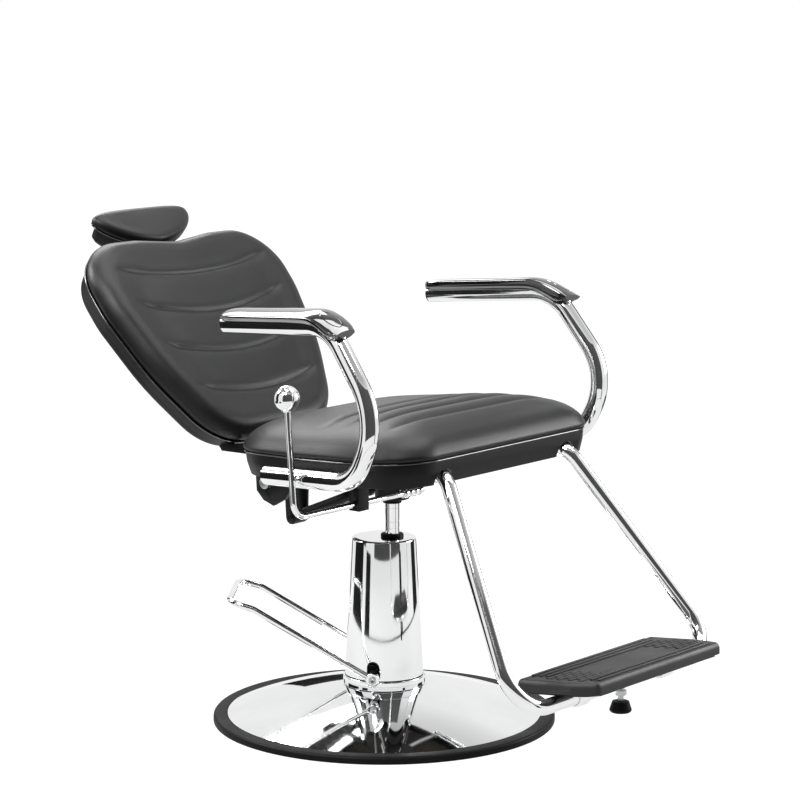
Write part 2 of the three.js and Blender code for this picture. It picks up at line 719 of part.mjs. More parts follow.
function addBase(base) {
  add(base, "base_rubber_ring", rubberRing(), rubber);
  const disc = turned([
    [0, 0], [ringInner - GAP, 0], [ringInner - GAP, PLATE_THICKNESS], [0, PLATE_THICKNESS],
  ]);
  add(base, "base_plate", disc, steel);
  add(base, "base_dish", dish(), chrome);
  add(base, "base_collar", collar(), chrome);
  add(base, "pump_cover", pumpCover(), chrome);
  add(base, "pump_body", pumpBody(), blackSteel);
  const wiper = ring(WIPER_RADIUS, pistonBore, COVER_TOP + GAP, COVER_TOP + WIPER_HEIGHT);
  add(base, "rod_wiper", wiper.translate(0, -PUMP_OFFSET, 0), rubber);
  const springTop = plungerTop - PLUNGER_HEAD - GAP;
  const spring = ring(BOSS_RADIUS, SPRING_INNER_RADIUS, BOSS_TOP + GAP, springTop, SMALL);
  add(base, "plunger_spring", spring.translate(0, plungerY, 0), steel);
  const stem = post(PLUNGER_RADIUS, PLUNGER_FOOT, plungerTop, 0, plungerY);
  const head = post(BOSS_RADIUS, plungerTop - PLUNGER_HEAD, plungerTop, 0, plungerY);
  add(base, "pump_plunger", join(stem, head), steel);
}

// ---- Foot pedal: a bent rod on a shaft through the cover, with the cam that drives the plunger.
function pedalPath() {
  const half = [
    [PEDAL_HALF_WIDTH, PEDAL_AXIS_Y, PEDAL_AXIS_Z],
    [PEDAL_HALF_WIDTH, PEDAL_KNEE_Y, PEDAL_KNEE_Z, PEDAL_KNEE_BEND],
    [PEDAL_HALF_WIDTH, PEDAL_END_Y, PEDAL_END_Z, PEDAL_END_BEND],
  ];
  const mirrored = half.map(([x, ...rest]) => [-x, ...rest]).reverse();
  return new RodPath(...half, ...mirrored);
}

function addPedal(base) {
  const eyeInner = PEDAL_HALF_WIDTH - PEDAL_EYE_THICKNESS / 2;
  const eyeOuter = PEDAL_HALF_WIDTH + PEDAL_EYE_THICKNESS / 2;
  const axle = (radius, x0, x1, sides) => bar(radius, x0, x1, PEDAL_AXIS_Y, PEDAL_AXIS_Z, sides);
  const eyes = SIDES.map(([, side]) => axle(PEDAL_EYE_RADIUS, side * eyeInner, side * eyeOuter));
  const bolt = BOLT_RADIUS + RUNNING;
  const frame = join(rod(pedalPath(), PEDAL_ROD_RADIUS, BAR_SIDES), ...eyes);
  add(base, "pedal_bar", cut(frame, axle(bolt, -eyeOuter - OVER, eyeOuter + OVER, SMALL)), chrome);
  const shaftEnd = eyeInner - GAP;
  const shaft = axle(PEDAL_SHAFT_RADIUS, -shaftEnd, shaftEnd);
  const half = CAM_THICKNESS / 2;
  const arm = box(-half, half, PEDAL_AXIS_Y, plungerY, PEDAL_AXIS_Z - half, PEDAL_AXIS_Z + half);
  const roller = bar(ROLLER_RADIUS, -half - OVER, half + OVER, plungerY, PEDAL_AXIS_Z);
  const bolts = SIDES.map(([, side]) =>
    axle(BOLT_HEAD_RADIUS, side * (eyeOuter + GAP), side * (eyeOuter + BOLT_HEAD), HEX));
  const core = axle(BOLT_RADIUS, -eyeOuter - OVER, eyeOuter + OVER, SMALL);
  add(base, "pedal_shaft", join(shaft, arm, roller, core, ...bolts), steel);
}

// ---- Piston.
function addPiston(group) {
  add(group, "piston_rod", post(PISTON_RADIUS, PISTON_FOOT, PISTON_TOP, 0, 0, FINE), chrome);
  const top = PISTON_COLLAR_Z + PISTON_COLLAR_HEIGHT;
  add(group, "piston_collar", ring(PISTON_COLLAR_RADIUS, pistonBore, PISTON_COLLAR_Z, top), rubber);
}

const base = new THREE.Group();
base.rotation.z = radians(PEDAL_TURN);
base.position.set(-PUMP_OFFSET * Math.sin(base.rotation.z), PUMP_OFFSET * Math.cos(base.rotation.z), 0);
chair.add(base);
addBase(base);
addPedal(base);
addPiston(chair);

// ---- Seat: cushion, board, shell and steel frame, in the tilted frame of the cushion's seam.
const seatCorners = [
  [SEAT_HALF_WIDTH, -SEAT_FRONT, SEAT_FRONT_CORNER],
  [SEAT_HALF_WIDTH + SEAT_SIDE_SWELL, SEAT_SIDE_Y, SEAT_SIDE_BEND],
  [SEAT_REAR_HALF_WIDTH, SEAT_REAR, SEAT_REAR_CORNER],
];
const seatLoop = symmetricLoop(seatCorners, FORM_POINTS);
const seatShellLoop = symmetricLoop(seatCorners, SHELL_POINTS);
const railTop = -BOARD_THICKNESS - GAP;
const railFoot = railTop - RAIL_HEIGHT;
const crossTop = railFoot - GAP;
const crossFoot = crossTop - CROSS_THICKNESS;
const railInner = RAIL_OFFSET - RAIL_WIDTH / 2;
const railOuter = RAIL_OFFSET + RAIL_WIDTH / 2;
const footDrop = GAP + FOOT_TUBE_RADIUS + crossTop;

// A place of the tilted seat frame, and the height of one of its levels, in the chair's frame.
const tilt = radians(SEAT_TILT);
const levelAt = (y, level) => SEAM_HEIGHT - y * Math.tan(tilt) + level / Math.cos(tilt);

const seatPad = new Pad(
  seatLoop,
  point(0, (SEAT_REAR - SEAT_FRONT) / 2),
  (SEAT_REAR + SEAT_FRONT + 2 * SEAT_HALF_WIDTH) / 4,
  SEAT_PROFILE,
  (place) => 1 - SEAT_REAR_FALL * THREE.MathUtils.smoothstep(place.y, SEAT_FALL_START, SEAT_FALL_END),
);

function armPlaneX(y) {
  return ARM_OFFSET - y * Math.tan(radians(ARM_TOE));
}

function armPath(side) {
  const corners = [
    [...ARM_REAR, 0],
    [...ARM_SHOULDER, ARM_SHOULDER_BEND],
    [...ARM_ELBOW, ARM_ELBOW_BEND],
    [...ARM_HEEL, ARM_HEEL_BEND],
    [...ARM_FOOT, 0],
  ];
  return new RodPath(...corners.map(([y, z, bend]) => [side * armPlaneX(y), y, z, bend]));
}

// The height of the arm's lower run, where the studs from the frame meet it.
function armRunZ(y) {
  const share = (y - ARM_HEEL[0]) / (ARM_FOOT[0] - ARM_HEEL[0]);
  return THREE.MathUtils.lerp(ARM_HEEL[1], ARM_FOOT[1], share);
}

const STUDS = [STUD_FRONT, STUD_REAR];

function seatShell() {
  const wall = SHELL_WALL;
  const ledge = wall + LEDGE_WIDTH;
  const middle = -SKIRT_HEIGHT / 2;
  const rows = [
    [SKIRT_DRAFT, -SKIRT_HEIGHT], [SKIRT_DRAFT / 4, middle], [0, 0], [wall, 0], [wall, railTop],
    [ledge, railTop], [ledge, railTop - wall], [wall + SKIRT_DRAFT / 4, railTop - wall],
    [wall + SKIRT_DRAFT, -SKIRT_HEIGHT],
  ];
  const skin = loft(rows.map(([distance, level]) => inset(seatShellLoop, distance, level)), true);
  const half = NOTCH_WIDTH / 2;
  const notches = SIDES.map(([, side]) => {
    const middleX = side * FOOT_SHOULDER[0];
    const [front, back] = [-SEAT_FRONT - OVER, -SEAT_FRONT + 2 * SKIRT_DRAFT];
    return box(middleX - half, middleX + half, front, back, -SKIRT_HEIGHT - OVER, -NOTCH_DROP);
  });
  const outer = SEAT_HALF_WIDTH + SKIRT_DRAFT;
  const holes = STUDS.flatMap((y) => {
    const place = toSeat(0, y, armRunZ(y));
    return SIDES.map(([, side]) =>
      bar(STUD_RADIUS + FREE, side * SEAT_REAR_HALF_WIDTH, side * outer, place.y, place.z, SMALL));
  });
  return cut(skin, ...notches, ...holes);
}

// A place of the chair's frame in the seat's frame.
function toSeat(x, y, z) {
  return point(x, y, z - SEAM_HEIGHT).applyAxisAngle(point(1, 0, 0), tilt);
}

function addSeat(seat) {
  const channels = Array.from({ length: SEAT_CHANNELS }, (_, i) => {
    const y = SEAT_CHANNEL_FIRST + i * SEAT_CHANNEL_PITCH;
    return seatPad.channel(() => y, SEAT_CHANNEL_REACH);
  });
  add(seat, "seat_cushion", cut(seatPad.body(), ...channels), vinyl);
  add(seat, "seat_shell", seatShell(), satinPlastic);
  const edge = inset(seatShellLoop, SHELL_WALL + RUNNING, 0);
  const board = loft([inset(edge, 0, -BOARD_THICKNESS), edge]);
  add(seat, "seat_board", board, plywood);
  SIDES.forEach(([name, side]) => {
    const [x0, x1] = sorted(side * railInner, side * railOuter);
    const tube = box(x0, x1, -RAIL_FRONT, RAIL_REAR, railFoot, railTop);
    const holes = STUDS.map((y) => {
      const place = toSeat(0, y, armRunZ(y));
      return bar(STUD_RADIUS + GAP, x0 - OVER, x1 + OVER, place.y, place.z);
    });
    add(seat, `frame_rail_${name}`, cut(tube, ...holes), blackSteel);
  });
  const crossBar = (y) => {
    const half = CROSS_WIDTH / 2;
    return box(-CROSS_HALF_LENGTH, CROSS_HALF_LENGTH, y - half, y + half, crossFoot, crossTop);
  };
  add(seat, "frame_cross_front", crossBar(-CROSS_FRONT), blackSteel);
  add(seat, "frame_cross_rear", crossBar(CROSS_REAR), blackSteel);
  const halfPlate = MOUNT_PLATE_LENGTH / 2;
  const plate = box(-railOuter, railOuter, -halfPlate, halfPlate, crossFoot, crossTop);
  add(seat, "mount_plate", plate, blackSteel);
}

// ---- What the seat carries, in the chair's own frame.
// A block that lies over the seat's underside at a level, to trim what meets it from below.
function aboveLevel(level) {
  const block = box(-SEAT_HALF_WIDTH, SEAT_HALF_WIDTH, -SEAT_FRONT, SEAT_REAR, level, level + SEAT_FRONT);
  return block.rotateX(-tilt).translate(0, 0, SEAM_HEIGHT);
}

function addSocket(group) {
  const foot = PISTON_COLLAR_Z + PISTON_COLLAR_HEIGHT + 2 * GAP;
  const ceiling = PISTON_TOP + RUNNING;
  const cup = turned([
    [0, ceiling], [pistonBore, ceiling], [pistonBore, foot], [SOCKET_RADIUS, foot],
    [SOCKET_RADIUS, ceiling + SOCKET_CEILING * 2], [0, ceiling + SOCKET_CEILING * 2],
  ], ROUND);
  add(group, "seat_socket", cut(cup, aboveLevel(crossFoot - GAP)), blackSteel);
}

function addHinge(group) {
  const plateOuter = RAIL_OFFSET + HINGE_PLATE / 2;
  const plateInner = RAIL_OFFSET - HINGE_PLATE / 2;
  const [front, rear] = [CROSS_REAR + CROSS_WIDTH / 2 + FREE, RAIL_REAR];
  const outline = [
    ...HINGE_PLATE_OUTLINE.map(([y, z]) => [HINGE_Y + y, HINGE_Z + z]),
    [rear, levelAt(rear, railFoot) - GAP], [front, levelAt(front, railFoot) - GAP],
  ];
  const axle = (radius, x0, x1, sides) => bar(radius, x0, x1, HINGE_Y, HINGE_Z, sides);
  SIDES.forEach(([name, side]) => {
    const [x0, x1] = sorted(side * plateInner, side * plateOuter);
    const bore = axle(HINGE_PIN_RADIUS + GAP, x0 - OVER, x1 + OVER);
    add(group, `hinge_plate_${name}`, cut(sidePlate(outline, x0, x1), bore), blackSteel);
    const armInner = plateInner - BACK_ARM_GAP - BACK_ARM_THICKNESS;
    const pin = axle(HINGE_PIN_RADIUS, side * (armInner - FREE), side * (plateOuter + OVER));
    const outerHead = axle(
      HINGE_PIN_HEAD_RADIUS, side * (plateOuter + GAP), side * (plateOuter + HINGE_PIN_HEAD));
    const innerHead = axle(
      HINGE_PIN_HEAD_RADIUS, side * (armInner - RUNNING - HINGE_PIN_HEAD), side * (armInner - RUNNING));
    add(group, `hinge_pin_${name}`, join(pin, outerHead, innerHead), steel);
  });
}

// An outline of two round ends, in [y, z], joined by straight sides.
function link([fromY, fromZ], fromRadius, [toY, toZ], toRadius) {
  const heading = Math.atan2(toZ - fromZ, toY - fromY);
  const end = (y, z, radius, start) =>
    Array.from({ length: SMALL / 2 + 1 }, (_, i) => {
      const angle = start + (Math.PI * i) / (SMALL / 2);
      return [y + radius * Math.cos(angle), z + radius * Math.sin(angle)];
    });
  const far = end(toY, toZ, toRadius, heading - QUARTER);
  return [...far, ...end(fromY, fromZ, fromRadius, heading + QUARTER)];
}

const sorted = (a, b) => [Math.min(a, b), Math.max(a, b)];

// ---- Gas spring: its front eye turns in a bracket on the mount plate.
const gasSpan = Math.hypot(GAS_TAIL_Y - GAS_PIVOT_Y, GAS_TAIL_Z - GAS_PIVOT_Z);
const gasSlope = Math.atan2(GAS_TAIL_Z - GAS_PIVOT_Z, GAS_TAIL_Y - GAS_PIVOT_Y);
const gasCylinderFoot = gasSpan - GAS_TAIL_GAP - GAS_CYLINDER_LENGTH;

function strut(radius, y0, y1, sides = ROUND) {
  return new THREE.CylinderGeometry(radius, radius, y1 - y0, sides).translate(0, (y0 + y1) / 2, 0);
}

function pinWithHeads(radius, headRadius, half, y, z) {
  const heads = SIDES.map(([, side]) => bar(headRadius, side * half, side * (half + HINGE_PIN_HEAD), y, z));
  return join(bar(radius, -half - OVER, half + OVER, y, z), ...heads);
}

function addGasSpring(group) {
  const gas = new THREE.Group();
  gas.position.set(0, GAS_PIVOT_Y, GAS_PIVOT_Z);
  gas.rotation.x = gasSlope;
  group.add(gas);
  const half = GAS_FRONT_EYE / 2;
  const eye = bar(GAS_EYE_RADIUS, -half, half, 0, 0);
  const stem = strut(GAS_ROD_RADIUS, 0, gasCylinderFoot + GAS_ROD_INSERT);
  const bore = bar(GAS_PIN_RADIUS + RUNNING, -half - OVER, half + OVER, 0, 0);
  add(gas, "gas_rod", cut(join(eye, stem), bore), chrome);
  const barrel = strut(GAS_CYLINDER_RADIUS, gasCylinderFoot, gasSpan - GAS_TAIL_GAP);
  const hollow = strut(GAS_ROD_RADIUS + RUNNING, gasCylinderFoot - OVER, gasCylinderFoot + GAS_BORE_DEPTH);
  const tailHalf = GAS_REAR_EYE / 2;
  const tailEye = bar(GAS_EYE_RADIUS, -tailHalf, tailHalf, gasSpan, 0);
  const neck = strut(GAS_PIN_RADIUS + FREE, gasSpan - GAS_TAIL_GAP - OVER, gasSpan);
  const tailBore = bar(GAS_PIN_RADIUS + FREE, -tailHalf - OVER, tailHalf + OVER, gasSpan, 0);
  add(gas, "gas_cylinder", cut(join(barrel, neck, tailEye), hollow, tailBore), blackSteel);
}

function addGasBracket(group) {
  const inner = GAS_FRONT_EYE / 2 + RUNNING;
  const outer = inner + GAS_CHEEK;
  const pivot = [GAS_PIVOT_Y, GAS_PIVOT_Z];
  const foot = [GAS_PIVOT_Y + GAS_BRACKET_RISE, SEAM_HEIGHT];
  const cheeks = SIDES.map(([, side]) =>
    sidePlate(link(pivot, GAS_EYE_RADIUS, foot, GAS_EYE_RADIUS), ...sorted(side * inner, side * outer)));
  const top = levelAt(GAS_PIVOT_Y, crossFoot);
  const front = GAS_PIVOT_Y - GAS_EYE_RADIUS;
  const half = GAS_FLANGE_HALF_WIDTH;
  const flange = box(-half, half, front, front + GAS_FLANGE_LENGTH, top - CROSS_THICKNESS, SEAM_HEIGHT);
  const pin = pinWithHeads(GAS_PIN_RADIUS, GAS_PIN_RADIUS + FREE, outer, ...pivot);
  const trimmed = cut(join(...cheeks, flange), aboveLevel(crossFoot - GAP));
  add(group, "gas_bracket", join(trimmed, pin), blackSteel);
}

// ---- Armrests.
function armPad(side) {
  const section = ([y, low, high, share]) => {
    const half = PAD_HALF_WIDTH * share;
    const height = high - low;
    const mirrored = PAD_SECTION.map(([x, z]) => [-x, z]).reverse();
    const middle = side * armPlaneX(y);
    return [...PAD_SECTION, ...mirrored].map(([x, z]) => point(middle + x * half, y, low + z * height));
  };
  const slope = (ARM_SHOULDER[1] - ARM_REAR[1]) / (ARM_SHOULDER[0] - ARM_REAR[0]);
  const upperRun = ([y, share]) => {
    const tubeTop = ARM_REAR[1] + slope * (y - ARM_REAR[0]) + ARM_TUBE_RADIUS;
    return [y, tubeTop - PAD_HUG, tubeTop + PAD_HEIGHT * share, share];
  };
  const overBend = ([y, low, high, share]) => [y, ARM_SHOULDER[1] + low, ARM_SHOULDER[1] + high, share];
  const stations = [...PAD_RUN.map(upperRun), ...PAD_NOSE.map(overBend)];
  const groove = rod(armPath(side), ARM_TUBE_RADIUS + 2 * GAP, BAR_SIDES);
  return cut(loft(stations.map(section)), groove);
}

// A solid made along +Y, set on an end of a path so that +Y leads out of it.
function pathEnd(path, share, geometry) {
  const { place, heading } = path.stopAt(share);
  const outward = share > 0 ? heading.clone() : heading.clone().negate();
  const turn = new THREE.Quaternion().setFromUnitVectors(point(0, 1, 0), outward);
  return geometry.applyQuaternion(turn).translate(place.x, place.y, place.z);
}

function addArms(group) {
  const tubeBore = ARM_TUBE_RADIUS - ARM_TUBE_WALL;
  SIDES.forEach(([name, side]) => {
    const path = armPath(side);
    const tube = rod(path, ARM_TUBE_RADIUS, BAR_SIDES, tubeBore);
    const footCap = pathEnd(path, 1, strut(ARM_TUBE_RADIUS, -PLUG_THICKNESS, 0, BAR_SIDES));
    add(group, `arm_tube_${name}`, join(tube, footCap), chrome);
    add(group, `arm_pad_${name}`, armPad(side), glossPlastic);
    const cap = strut(ARM_TUBE_RADIUS, GAP, PLUG_THICKNESS);
    const stem = strut(tubeBore - PLUG_FIT, -PLUG_STEM, PLUG_THICKNESS);
    add(group, `arm_plug_${name}`, pathEnd(path, 0, join(cap, stem)), glossPlastic);
  });
  const tubeRoom = SIDES.map(([, side]) => rod(armPath(side), ARM_TUBE_RADIUS + GAP, BAR_SIDES));
  [["front", STUD_FRONT], ["rear", STUD_REAR]].forEach(([end, y]) => {
    const place = (radius, x0, x1) => bar(radius, x0, x1, y, armRunZ(y));
    const washers = SIDES.map(([, side]) =>
      place(WASHER_RADIUS, side * (railOuter + GAP), side * (railOuter + STUD_RADIUS)));
    const through = place(STUD_RADIUS, -armPlaneX(y), armPlaneX(y));
    add(group, `arm_rod_${end}`, cut(join(through, ...washers), ...tubeRoom), steel);
  });
}

// ---- Footrest: one bent tube, with a tread clamped across it and a bumper under it.
function footPath() {
  const half = [
    [FOOT_TUBE_END[0], FOOT_TUBE_END[1], levelAt(FOOT_TUBE_END[1], footDrop), 0],
    [FOOT_SHOULDER[0], FOOT_SHOULDER[1], levelAt(FOOT_SHOULDER[1], footDrop), FOOT_SHOULDER_BEND],
    [...FOOT_CORNER, FOOT_CORNER_BEND],
  ];
  const mirrored = half.map(([x, ...rest]) => [-x, ...rest]).reverse();
  return new RodPath(...half, ...mirrored);
}

function addFootrest(group) {
  const tube = rod(footPath(), FOOT_TUBE_RADIUS, BAR_SIDES, FOOT_TUBE_RADIUS - FOOT_TUBE_WALL);
  add(group, "footrest_tube", tube, chrome);
  const [, tubeY, tubeZ] = FOOT_CORNER;
  const tread = new THREE.Group();
  tread.position.set(0, tubeY, tubeZ);
  tread.rotation.x = -radians(TREAD_TILT);
  group.add(tread);
  const loop = symmetricLoop([
    [TREAD_FRONT_HALF_WIDTH, -TREAD_FRONT, TREAD_CORNER],
    [TREAD_HALF_WIDTH, -TREAD_TAPER_START, TREAD_CORNER],
    [TREAD_HALF_WIDTH, TREAD_REAR, TREAD_CORNER],
  ], SHELL_POINTS);
  const plateFoot = FOOT_TUBE_RADIUS + GAP;
  const matFoot = plateFoot + TREAD_PLATE + GAP;
  const top = matFoot + TREAD_THICKNESS;
  const plateTop = plateFoot + TREAD_PLATE;
  const plate = loft([inset(loop, TREAD_CORNER, plateFoot), inset(loop, TREAD_CORNER, plateTop)]);
  add(tread, "tread_plate", plate, blackSteel);
  const bevel = TREAD_BEVEL;
  const mat = loft([
    inset(loop, 0, matFoot), inset(loop, 0, top - bevel), inset(loop, bevel, top),
  ]);
  const rib = (y) => {
    const half = RIB_LENGTH / 2;
    return box(-half, half, y - RIB_WIDTH / 2, y + RIB_WIDTH / 2, matFoot + OVER, top + RIB_HEIGHT);
  };
  const ribs = (count, first, pitch) => Array.from({ length: count }, (_, i) => rib(first + i * pitch));
  const rearRibs = ribs(REAR_RIBS, TREAD_REAR - RIB_MARGIN, -RIB_PITCH);
  const frontRibs = ribs(FRONT_RIBS, RIB_MARGIN - TREAD_FRONT, RIB_PITCH);
  add(tread, "tread_mat", join(mat, ...rearRibs, ...frontRibs), rubber);
  SIDES.forEach(([name, side]) => {
    const middle = side * CLAMP_OFFSET;
    const [x0, x1] = [middle - CLAMP_WIDTH / 2, middle + CLAMP_WIDTH / 2];
    const earTop = plateFoot - GAP;
    const saddle = bar(FOOT_TUBE_RADIUS + GAP + CLAMP_WALL, x0, x1, 0, 0);
    const ears = box(x0, x1, -CLAMP_EARS, CLAMP_EARS, earTop - CLAMP_WALL, earTop);
    const heads = [-1, 1].map((end) => {
      const y = end * (CLAMP_EARS - BOLT_HEAD_RADIUS - OVER);
      return post(BOLT_HEAD_RADIUS, earTop - CLAMP_WALL - BOLT_HEAD, earTop - OVER, middle, y, HEX);
    });
    const bore = bar(FOOT_TUBE_RADIUS + RUNNING, x0 - OVER, x1 + OVER, 0, 0);
    const above = box(x0 - OVER, x1 + OVER, -CLAMP_EARS, CLAMP_EARS, earTop, earTop + FOOT_TUBE_RADIUS);
    add(tread, `tread_clamp_${name}`, cut(join(saddle, ears, ...heads), bore, above), chrome);
  });
  const cupTop = BUMPER_FOOT + BUMPER_HEIGHT;
  const cup = turned([
    [0, BUMPER_FOOT], [BUMPER_RADIUS, BUMPER_FOOT], [BUMPER_RADIUS, BUMPER_FOOT + BUMPER_LIP],
    [BUMPER_TOP_RADIUS, cupTop], [0, cupTop],
  ], ROUND);
  add(group, "bumper_cup", cup.translate(0, tubeY, 0), rubber);
  const stem = post(BUMPER_STEM_RADIUS, cupTop + GAP, tubeZ, 0, tubeY);
  const saddle = post(2 * BUMPER_STEM_RADIUS, tubeZ - 2 * FOOT_TUBE_RADIUS + FREE, tubeZ, 0, tubeY);
  const room = bar(FOOT_TUBE_RADIUS + RUNNING, -BUMPER_RADIUS, BUMPER_RADIUS, tubeY, tubeZ);
  add(group, "bumper_stem", cut(join(stem, saddle), room), steel);
}

// ---- Recline lever on the sitter's right, in a clamp that hangs from the frame.
function addLever(group) {
  const [knobY, knobZ] = LEVER_KNOB;
  const corners = [
    [-LEVER_OUT, knobY, knobZ, 0],
    [-LEVER_OUT, LEVER_AXIS_Y, LEVER_AXIS_Z, LEVER_BEND],
    [LEVER_INNER_END, LEVER_AXIS_Y, LEVER_AXIS_Z, 0],
  ];
  add(group, "lever_rod", rod(new RodPath(...corners), LEVER_ROD_RADIUS, BAR_SIDES), chrome);
  const ball = new THREE.SphereGeometry(LEVER_KNOB_RADIUS, ROUND, SMALL).rotateX(QUARTER);
  ball.translate(-LEVER_OUT, knobY, knobZ);
  const socket = rod(new RodPath(...corners), LEVER_ROD_RADIUS + GAP, BAR_SIDES);
  const hollow = post(LEVER_ROD_RADIUS + GAP, knobZ - OVER, knobZ + OVER, -LEVER_OUT, knobY, BAR_SIDES);
  add(group, "lever_knob", cut(ball, socket, hollow), chrome);
  const pitch = SLEEVE_LENGTH / SLEEVE_RIDGES;
  const [start, end] = SLEEVE_RIDGE;
  const valley = (SLEEVE_RADIUS + LEVER_ROD_RADIUS) / 2;
  const outside = Array.from({ length: SLEEVE_RIDGES }, (_, i) => [
    [valley, i * pitch], [SLEEVE_RADIUS, (i + start) * pitch], [SLEEVE_RADIUS, (i + end) * pitch],
  ]).flat();
  const bore = LEVER_ROD_RADIUS + GAP;
  const profile = [[bore, 0], ...outside, [valley, SLEEVE_LENGTH], [bore, SLEEVE_LENGTH], [bore, 0]];
  const sleeve = turned(profile, SMALL).rotateY(QUARTER);
  const sleeveX = LEVER_INNER_END - SLEEVE_LENGTH;
  add(group, "lever_sleeve", sleeve.translate(sleeveX, LEVER_AXIS_Y, LEVER_AXIS_Z), chrome);
}

function addLeverClamp(group) {
  const [x0, x1] = [LEVER_CLAMP_X - LEVER_CLAMP_WIDTH / 2, LEVER_CLAMP_X + LEVER_CLAMP_WIDTH / 2];
  const [y0, y1] = [LEVER_AXIS_Y - LEVER_CLAMP_DEPTH / 2, LEVER_AXIS_Y + LEVER_CLAMP_DEPTH / 2];
  const shelf = levelAt(LEVER_AXIS_Y, crossTop);
  const inner = -railOuter - GAP;
  const block = box(x0, x1, y0, y1, LEVER_AXIS_Z - LEVER_CLAMP_DEPTH / 2, shelf);
  const arm = box(x0, inner, y0, y1, shelf - CROSS_THICKNESS, shelf);
  const wall = box(inner - CROSS_THICKNESS, inner, y0, y1, shelf - OVER, shelf + RAIL_HEIGHT - FREE);
  const bore = bar(LEVER_ROD_RADIUS + RUNNING, x0 - OVER, x1 + OVER, LEVER_AXIS_Y, LEVER_AXIS_Z);
  add(group, "lever_clamp", cut(join(block, arm, wall), bore), blackSteel);
}

// ---- Backrest, in its own frame at the recline hinge. Its outlines lie in the padding's frame, where
// +Y runs up the back and +Z out of the face.
const backCorners = [
  [BACK_BOTTOM_HALF_WIDTH, BACK_BOTTOM, BACK_BOTTOM_CORNER],
  [BACK_WAIST_HALF_WIDTH, BACK_WAIST_Z, BACK_WAIST_BEND],
  [BACK_HALF_WIDTH, BACK_WIDEST_Z, BACK_WIDEST_BEND],
  [BACK_HALF_WIDTH, BACK_TOP, BACK_TOP_CORNER],
  [BACK_DIP_HALF_WIDTH, BACK_TOP, BACK_DIP_BEND],
  [0, BACK_TOP - BACK_DIP, BACK_DIP_BEND],
];
const backLoop = symmetricLoop(backCorners, FORM_POINTS);
const backShellLoop = symmetricLoop(backCorners, SHELL_POINTS);
const backPad = new Pad(
  backLoop,
  point(0, (BACK_TOP + BACK_BOTTOM) / 2),
  (BACK_TOP - BACK_BOTTOM + 2 * BACK_HALF_WIDTH) / 4,
  BACK_PROFILE,
);
const backArmFront = BACK_SEAM_Y + BOARD_THICKNESS + 2 * GAP;
const backArmRear = backArmFront + BACK_ARM_DEPTH;
const backArmOuter = RAIL_OFFSET - HINGE_PLATE / 2 - BACK_ARM_GAP;
const backArmInner = backArmOuter - BACK_ARM_THICKNESS;
const shellBottom = BACK_BASE_Z + BACK_BOTTOM;

function backShell() {
  const wall = SHELL_WALL;
  const [[, depth]] = BACK_SHELL_PROFILE;
  const skin = BACK_SHELL_PROFILE.map(([distance, drop]) => inset(backShellLoop, distance, -drop));
  const lining = BACK_SHELL_PROFILE.slice().reverse().map(([distance, drop]) =>
    inset(backShellLoop, distance + wall, drop > 0 ? wall - drop : 0));
  const bottom = BACK_BOTTOM - OVER;
  const slots = SIDES.map(([, side]) => {
    const [x0, x1] = sorted(side * (backArmInner - BACK_ARM_GAP), side * (backArmOuter + BACK_ARM_GAP));
    return box(x0, x1, bottom, bottom + BACK_ARM_DEPTH, -depth - OVER, OVER);
  });
  const half = GUIDE_HALF_WIDTH + GAP;
  const mouth = box(
    -half, half, GUIDE_FOOT - BACK_BASE_Z, BACK_TOP,
    BACK_SEAM_Y - POST_Y - POST_THICKNESS - 2 * GAP, -BOARD_THICKNESS);
  return cut(loft([...skin, ...lining]), ...slots, mouth);
}

function backArm(x0, x1) {
  const eye = BACK_ARM_WIDTH / 2;
  const round = eye * Math.SQRT1_2;
  const outline = [
    [0, -eye], [round, -round], [eye, 0], [eye, round], [BACK_ARM_THICKNESS / 2, BACK_ARM_WIDTH],
    [BACK_ARM_THICKNESS / 2, 2 * BACK_ARM_WIDTH], [backArmRear, shellBottom + BACK_ARM_NECK],
    [backArmRear, BACK_ARM_TOP], [backArmFront, BACK_ARM_TOP], [backArmFront, shellBottom + BACK_ARM_GAP],
    [BACK_SEAM_Y - BACK_ARM_THICKNESS, shellBottom - BACK_ARM_THICKNESS - BACK_ARM_GAP],
    [-eye, 2 * BACK_ARM_WIDTH + BACK_ARM_THICKNESS], [-eye - OVER, BACK_ARM_WIDTH], [-eye, round],
    [-eye, 0], [-round, -round],
  ];
  const bore = bar(HINGE_PIN_RADIUS + RUNNING, x0 - OVER, x1 + OVER, 0, 0);
  return cut(sidePlate(outline, x0, x1), bore);
}

function addRecline(back) {
  SIDES.forEach(([name, side]) => {
    add(back, `back_arm_${name}`, backArm(...sorted(side * backArmInner, side * backArmOuter)), blackSteel);
  });
  const tubeEnd = backArmInner - GAP;
  const tube = [BACK_TUBE_Y, BACK_TUBE_Z];
  const tail = point(0, GAS_TAIL_Y - HINGE_Y, GAS_TAIL_Z - HINGE_Z);
  tail.applyAxisAngle(point(1, 0, 0), radians(BACK_LEAN));
  const inner = GAS_REAR_EYE / 2 + RUNNING;
  const outer = inner + GAS_CHEEK;
  const outline = link(tube, BACK_TUBE_RADIUS + GAS_CHEEK, [tail.y, tail.z], GAS_EYE_RADIUS);
  const cheeks = SIDES.map(([, side]) => sidePlate(outline, ...sorted(side * inner, side * outer)));
  const pin = pinWithHeads(GAS_PIN_RADIUS, GAS_PIN_RADIUS + FREE, outer, tail.y, tail.z);
  const crossTube = bar(BACK_TUBE_RADIUS, -tubeEnd, tubeEnd, ...tube);
  add(back, "gas_yoke", join(crossTube, ...cheeks, pin), blackSteel);
}

